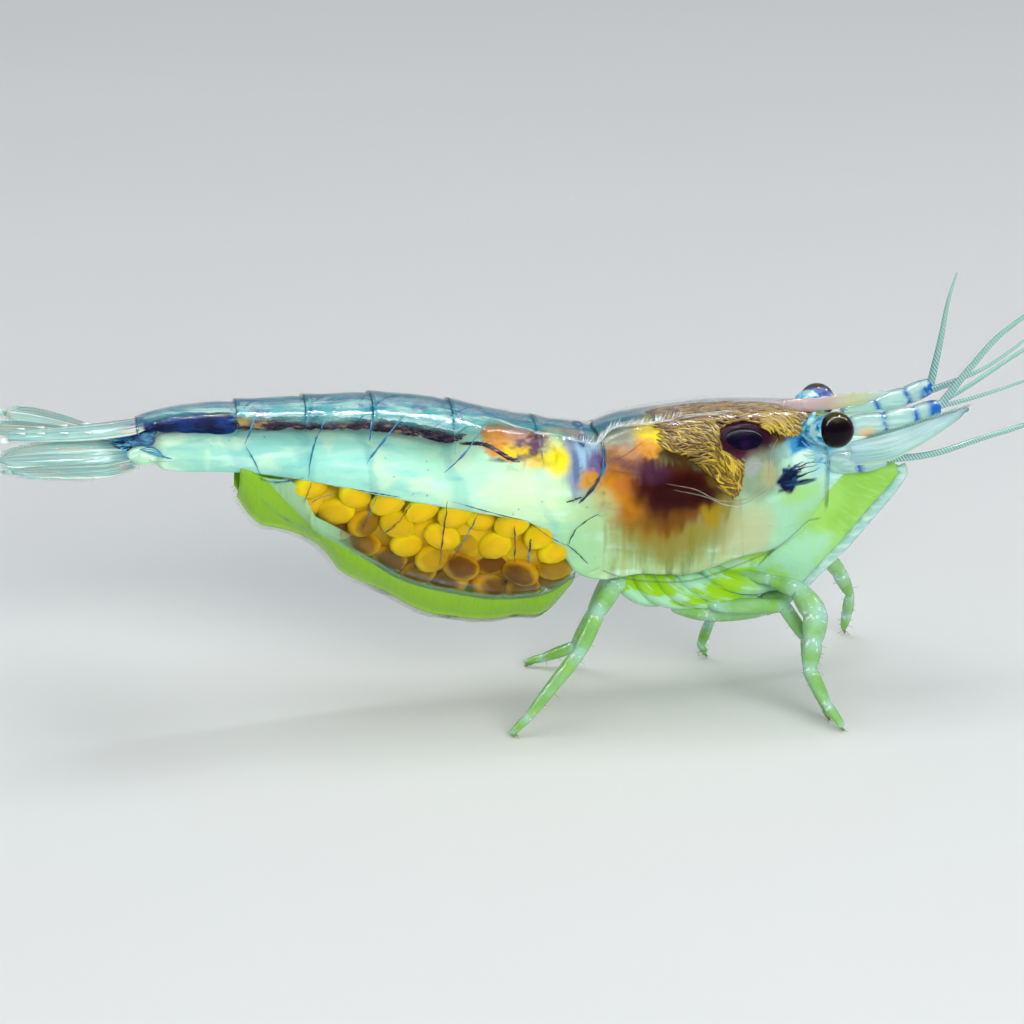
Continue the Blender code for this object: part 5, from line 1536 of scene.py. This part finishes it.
random.seed(47)
for number, (front, rear) in enumerate(SPANS, start=1):
    for side, hand in SIDES.items():
        upper, lower = [], []
        for k in range(9):
            x = front + (rear - front) * k / 8
            flank = ABDOMEN.place(x, 0.9, 1)
            behind_eggs = (FLESH.edge(x) - 0.05) * smooth(-x, 8.4, 9.2)
            high = max(ABDOMEN.edge(x) + 0.55, LOBE_FLOOR(x) + 0.25, behind_eggs)
            upper.append((x, (flank.y - 0.1) * hand, high))
            lower.append(free_edge(x, k / 8, hand))
        bm = new_bmesh()
        drop = bm.verts.layers.float.new("below_eggs")
        for vert in add_leaf(bm, upper, lower, (0, 0.22 * hand, -0.08), 26, 44):
            vert[drop] = CLUTCH_FLOOR(vert.co.x) + 0.3 - vert.co.z
        name = f"swimmeret_blade_{number}_{side}"
        finished(name, bm, lobe, "swimmeret", f"swimmeret_{number}_{side}", wall=BLADE_WALL)
    bm = new_bmesh()
    for k in range(BRISTLES):
        share = k / (BRISTLES - 1)
        x = front + (rear - front) * share
        for hand in (-1, 1):
            root = Vector(free_edge(x, share, hand))
            tip = root + Vector((-0.12, -0.03 * hand, -0.06 - 0.07 * random.random()))
            add_hair(bm, root, tip, (0, 0, -0.02), [0.01, 0.008, 0.003])
    finished(f"swimmeret_fringe_{number}", bm, lobe, "swimmeret")

# The tail fan is the pointed telson between two pairs of clear paddles. Blue pigment fans out from
# their roots, fine ribs run along them and each has a fringe of soft bristles.
TELSON_WALL, PADDLE_WALL = 0.09, 0.07
FRINGE_FRONT = -15.4  # a paddle's fringe runs from here round its rear
ROOT_STRANDS = 130  # of blue pigment on each side
TELSON_EDGE = [
    (-13.75, 0.42, 9.66), (-14.3, 0.62, 9.58), (-15.5, 0.6, 9.48), (-16.8, 0.42, 9.42), (-17.9, 0.2, 9.38),
]
PADDLES = {
    "inner": (
        [(-14.0, 0.12, 9.1), (-15.2, 0.12, 9.28), (-16.4, 0.2, 9.3), (-17.5, 0.5, 9.28), (-18.3, 1.1, 9.24)],
        [
            (-14.0, 0.62, 8.72), (-15.2, 1.5, 8.92), (-16.4, 2.0, 9.1), (-17.5, 2.2, 9.22),
            (-18.25, 2.05, 9.26),
        ],
    ),
    "outer": (
        [(-14.05, 0.4, 8.85), (-15.1, 0.9, 8.9), (-16.2, 1.3, 9.02), (-17.2, 1.8, 9.12), (-18.05, 2.3, 9.2)],
        [(-14.0, 0.75, 8.5), (-15, 2.15, 8.82), (-16.1, 2.95, 9.08), (-17, 3.25, 9.26), (-17.75, 3.25, 9.33)],
    ),
}
fan = Finish("tail fan")
behind = fan.x * -1
fan_ribs = fan.noise(1.0, 3.0, where=fan.uv, stretch=(16, 1.2, 1))
tone = fan.layered(
    (0.22, 0.58, 0.50),
    (fan.step(fan_ribs, 0.35, 0.65), (0.52, 0.86, 0.76)),
    (fan.step(fan.noise(1.0, 3.0, stretch=(0.5, 2, 2)), 0.5, 0.64) * 0.7, (0.78, 0.68, 0.42)),
    (fan.step(fan.noise(1.0, 3.0, where=fan.uv, stretch=(7, 0.8, 1)), 0.54, 0.66) * 0.7, (0.12, 0.36, 0.56)),
)
root_blue = fan.step(behind + (fan_ribs - 0.5) * 5, 15.2, 14.4) * fan.step(fan_ribs, 0.44, 0.56)
tone = fan.mix(root_blue, tone, (0.012, 0.035, 0.22))
ridge = fan.step(abs(fan.s * 2 - 1), 0.12, 0.02)
edge_line = fan.step(abs(fan.s * 2 - 1), 0.95, 0.985)
tone = fan.mix(ridge.most(edge_line) * 0.8, tone, (0.85, 0.97, 0.95))
fan.surface(
    tone,
    roughness=0.12,
    alpha=(0.62 + root_blue * 0.35 + ridge.most(edge_line) * 0.3) * fan.step(fan.t, 0.0, 0.08),
    height=fan_ribs,
    depth=0.05,
    shine=0.08,
)
random.seed(53)
bm = new_bmesh()
add_leaf(bm, TELSON_EDGE, mirrored(TELSON_EDGE, -1), (0, 0, 0.24), 18, 60)
finished("telson_plate", bm, fan, "fan", "telson", wall=TELSON_WALL)
bm = new_bmesh()
shade = bm.verts.layers.float.new("shade")
for hand in (-1, 1):
    made = bmesh.ops.create_uvsphere(bm, u_segments=28, v_segments=18, radius=1)["verts"]
    size = Matrix.Rotation(0.12, 4, "Y") @ Matrix.Diagonal((0.5, 0.3, 0.3, 1))
    bmesh.ops.transform(bm, matrix=Matrix.Translation((-13.9, 0.62 * hand, 8.87)) @ size, verts=made)
    for vert in made:
        vert[shade] = 1.0
    for strand in range(ROOT_STRANDS):
        low = random.uniform(0, 1)
        x = -14.2 - 0.3 * low + random.uniform(-0.15, 0.1)
        start = Vector((x, hand * (0.25 + 0.6 * low), 9.35 - 0.65 * low))
        reach = random.uniform(0.1, 0.75)
        end = start + Vector((-reach, hand * 0.3 * reach * low, random.uniform(-0.1, 0.08)))
        path = []
        for k in range(5):
            kink = Vector((0, hand * 0.03 * (k % 2), 0.02 * math.sin(2 * k)))
            path.append(start.lerp(end, k / 4) + kink)
        tone = random.choice((0.0, 0.0, 0.2, 0.45, 0.6))
        add_shaded(bm, path, [0.04, 0.035, 0.028, 0.02, 0.006], tone)
    for arc in range(5):
        points = [
            (-12.95 - 0.09 * arc, 0.93 - 0.02 * arc), (-13.35, 0.74 - 0.03 * arc), (-13.6, 0.56 - 0.03 * arc),
            (-14.0, 0.42),
        ]
        path = through([ABDOMEN.place(x, t, hand, -0.06) for x, t in points], 5)
        add_shaded(bm, path, swell(0.008, 0.016, 15), (0.45, 0.6)[arc % 2])
core = [Vector((-13.5 - 0.12 * k, 0, 9.2 - 0.012 * k)) for k in range(12)]
core_radii = [0.28 * math.sqrt(max(0.01, 1 - ((k - 4) / 7.2) ** 2)) for k in range(12)]
add_shaded(bm, core, core_radii, 0.3, 24)
roots = Finish("fan roots")
shading = roots.attribute("shade")
tone = roots.ramp(
    shading,
    (0.0, (0.004, 0.006, 0.05)), (0.2, (0.06, 0.025, 0.12)), (0.45, (0.005, 0.12, 0.36)),
    (0.6, (0.10, 0.46, 0.62)), (1.0, (0.44, 0.78, 0.52)),
)
streaks = roots.noise(1.0, 4.0, where=roots.wobbled((0.2, 0.1, 0.2), 3.0), stretch=(1.5, 5, 6))
tone = roots.layered(
    tone,
    (roots.step(streaks, 0.5, 0.62) * roots.step(shading, 0.8, 0.6) * 0.8, (0.12, 0.46, 0.60)),
    (roots.step(streaks, 0.48, 0.6) * roots.step(shading, 0.8, 1.0) * 0.7, (0.74, 0.94, 0.84)),
)
roots.surface(tone, roughness=0.3, Specular_IOR_Level=0.3)
finished("fan_roots", bm, roots, "fan")
bm = new_bmesh()
for k in range(9):
    root = Vector((-17.88, -0.18 + 0.045 * k, 9.36))
    add_tube(bm, [root, root + Vector((-0.32 - 0.1 * (k % 2), 0.02 * (k - 4), 0))], [0.022, 0.004], 4)
for hand in (-1, 1):
    for x, y in ((-15.4, 0.42), (-16.1, 0.36), (-16.8, 0.29), (-17.4, 0.22)):
        root = Vector((x, y * hand, 9.62))
        add_tube(bm, [root, root + Vector((-0.26, 0, 0.03))], [0.045, 0.006], 5)
spine = Finish("pale spine")
spine.surface(spine.mix(spine.noise(4.0), (0.80, 0.95, 0.92), (0.95, 1.0, 0.98)), roughness=0.2)
finished("telson_spines", bm, spine, "fan")
for side, hand in SIDES.items():
    for part, (near, far) in PADDLES.items():
        bm = new_bmesh()
        leaf = add_leaf(bm, mirrored(near, hand), mirrored(far, hand), (0, 0, 0.1), 22, 60, end=0.85)
        middle = sum((vert.co for vert in leaf), Vector()) / len(leaf)
        rim = [vert.co.copy() for vert in leaf if vert.is_boundary and vert.co.x < FRINGE_FRONT]
        finished(f"tail_paddle_{part}_{side}", bm, fan, "fan", f"tail_{part}_{side}", wall=PADDLE_WALL)
        bm = new_bmesh()
        for root in rim:
            comb = ((root - middle).normalized() + Vector((-1, 0, 0))).normalized()
            tip = root + comb * random.uniform(0.2, 0.36)
            add_hair(bm, root, tip, (0, 0, 0.015), [0.014, 0.01, 0.003])
        finished(f"paddle_fringe_{part}_{side}", bm, whip, "fan")

# She stands in a plain studio: a pale seamless floor, one broad soft light in front, one from above
# and a long narrow one behind, which draws the bright line along her back.
FLOOR_REACH = 1.2
bm = bmesh.new()
bmesh.ops.create_grid(bm, x_segments=1, y_segments=1, size=FLOOR_REACH)
floor = bpy.data.objects.new("floor", bpy.data.meshes.new("floor"))
bm.to_mesh(floor.data)
bm.free()
bpy.context.scene.collection.objects.link(floor)
paper = Finish("pale floor")
paper.surface(paper.mix(paper.noise(0.05, 2.0), (0.79, 0.80, 0.80), (0.82, 0.83, 0.83)), roughness=0.7)
floor.data.materials.append(paper.material)
HER_MIDDLE = Vector((0, 0, 6 * MM))


def add_light(name, place, wide, high, power, colour, glare=True, lights=True):
    """An area light that faces her middle. One without glare isn't mirrored in her shell, and one that
    doesn't light is only seen mirrored there."""
    lamp = bpy.data.lights.new(name, "AREA")
    lamp.shape, lamp.size, lamp.size_y = "RECTANGLE", wide, high
    lamp.energy, lamp.color = power, colour
    obj = bpy.data.objects.new(name, lamp)
    obj.location = Vector(place)
    obj.visible_glossy, obj.visible_diffuse = glare, lights
    obj.rotation_euler = (Vector(place) - HER_MIDDLE).to_track_quat("Z", "Y").to_euler()
    bpy.context.scene.collection.objects.link(obj)


add_light("front light", (0.06, -0.26, 0.14), 0.22, 0.14, 0.72, (1.0, 0.98, 0.95), glare=False)
add_light("top light", (-0.03, -0.02, 0.3), 0.3, 0.16, 0.28, (0.95, 0.98, 1.0))
add_light("back strip", (-0.01, 0.045, 0.17), 0.6, 0.006, 2.0, (0.92, 0.97, 1.0), lights=False)
world = bpy.data.worlds.new("studio")
world.use_nodes = True
world.node_tree.nodes["Background"].inputs["Color"].default_value = (0.9, 0.95, 1.0, 1.0)
world.node_tree.nodes["Background"].inputs["Strength"].default_value = 0.3
bpy.context.scene.world = world
bpy.context.scene.view_settings.view_transform = "Standard"
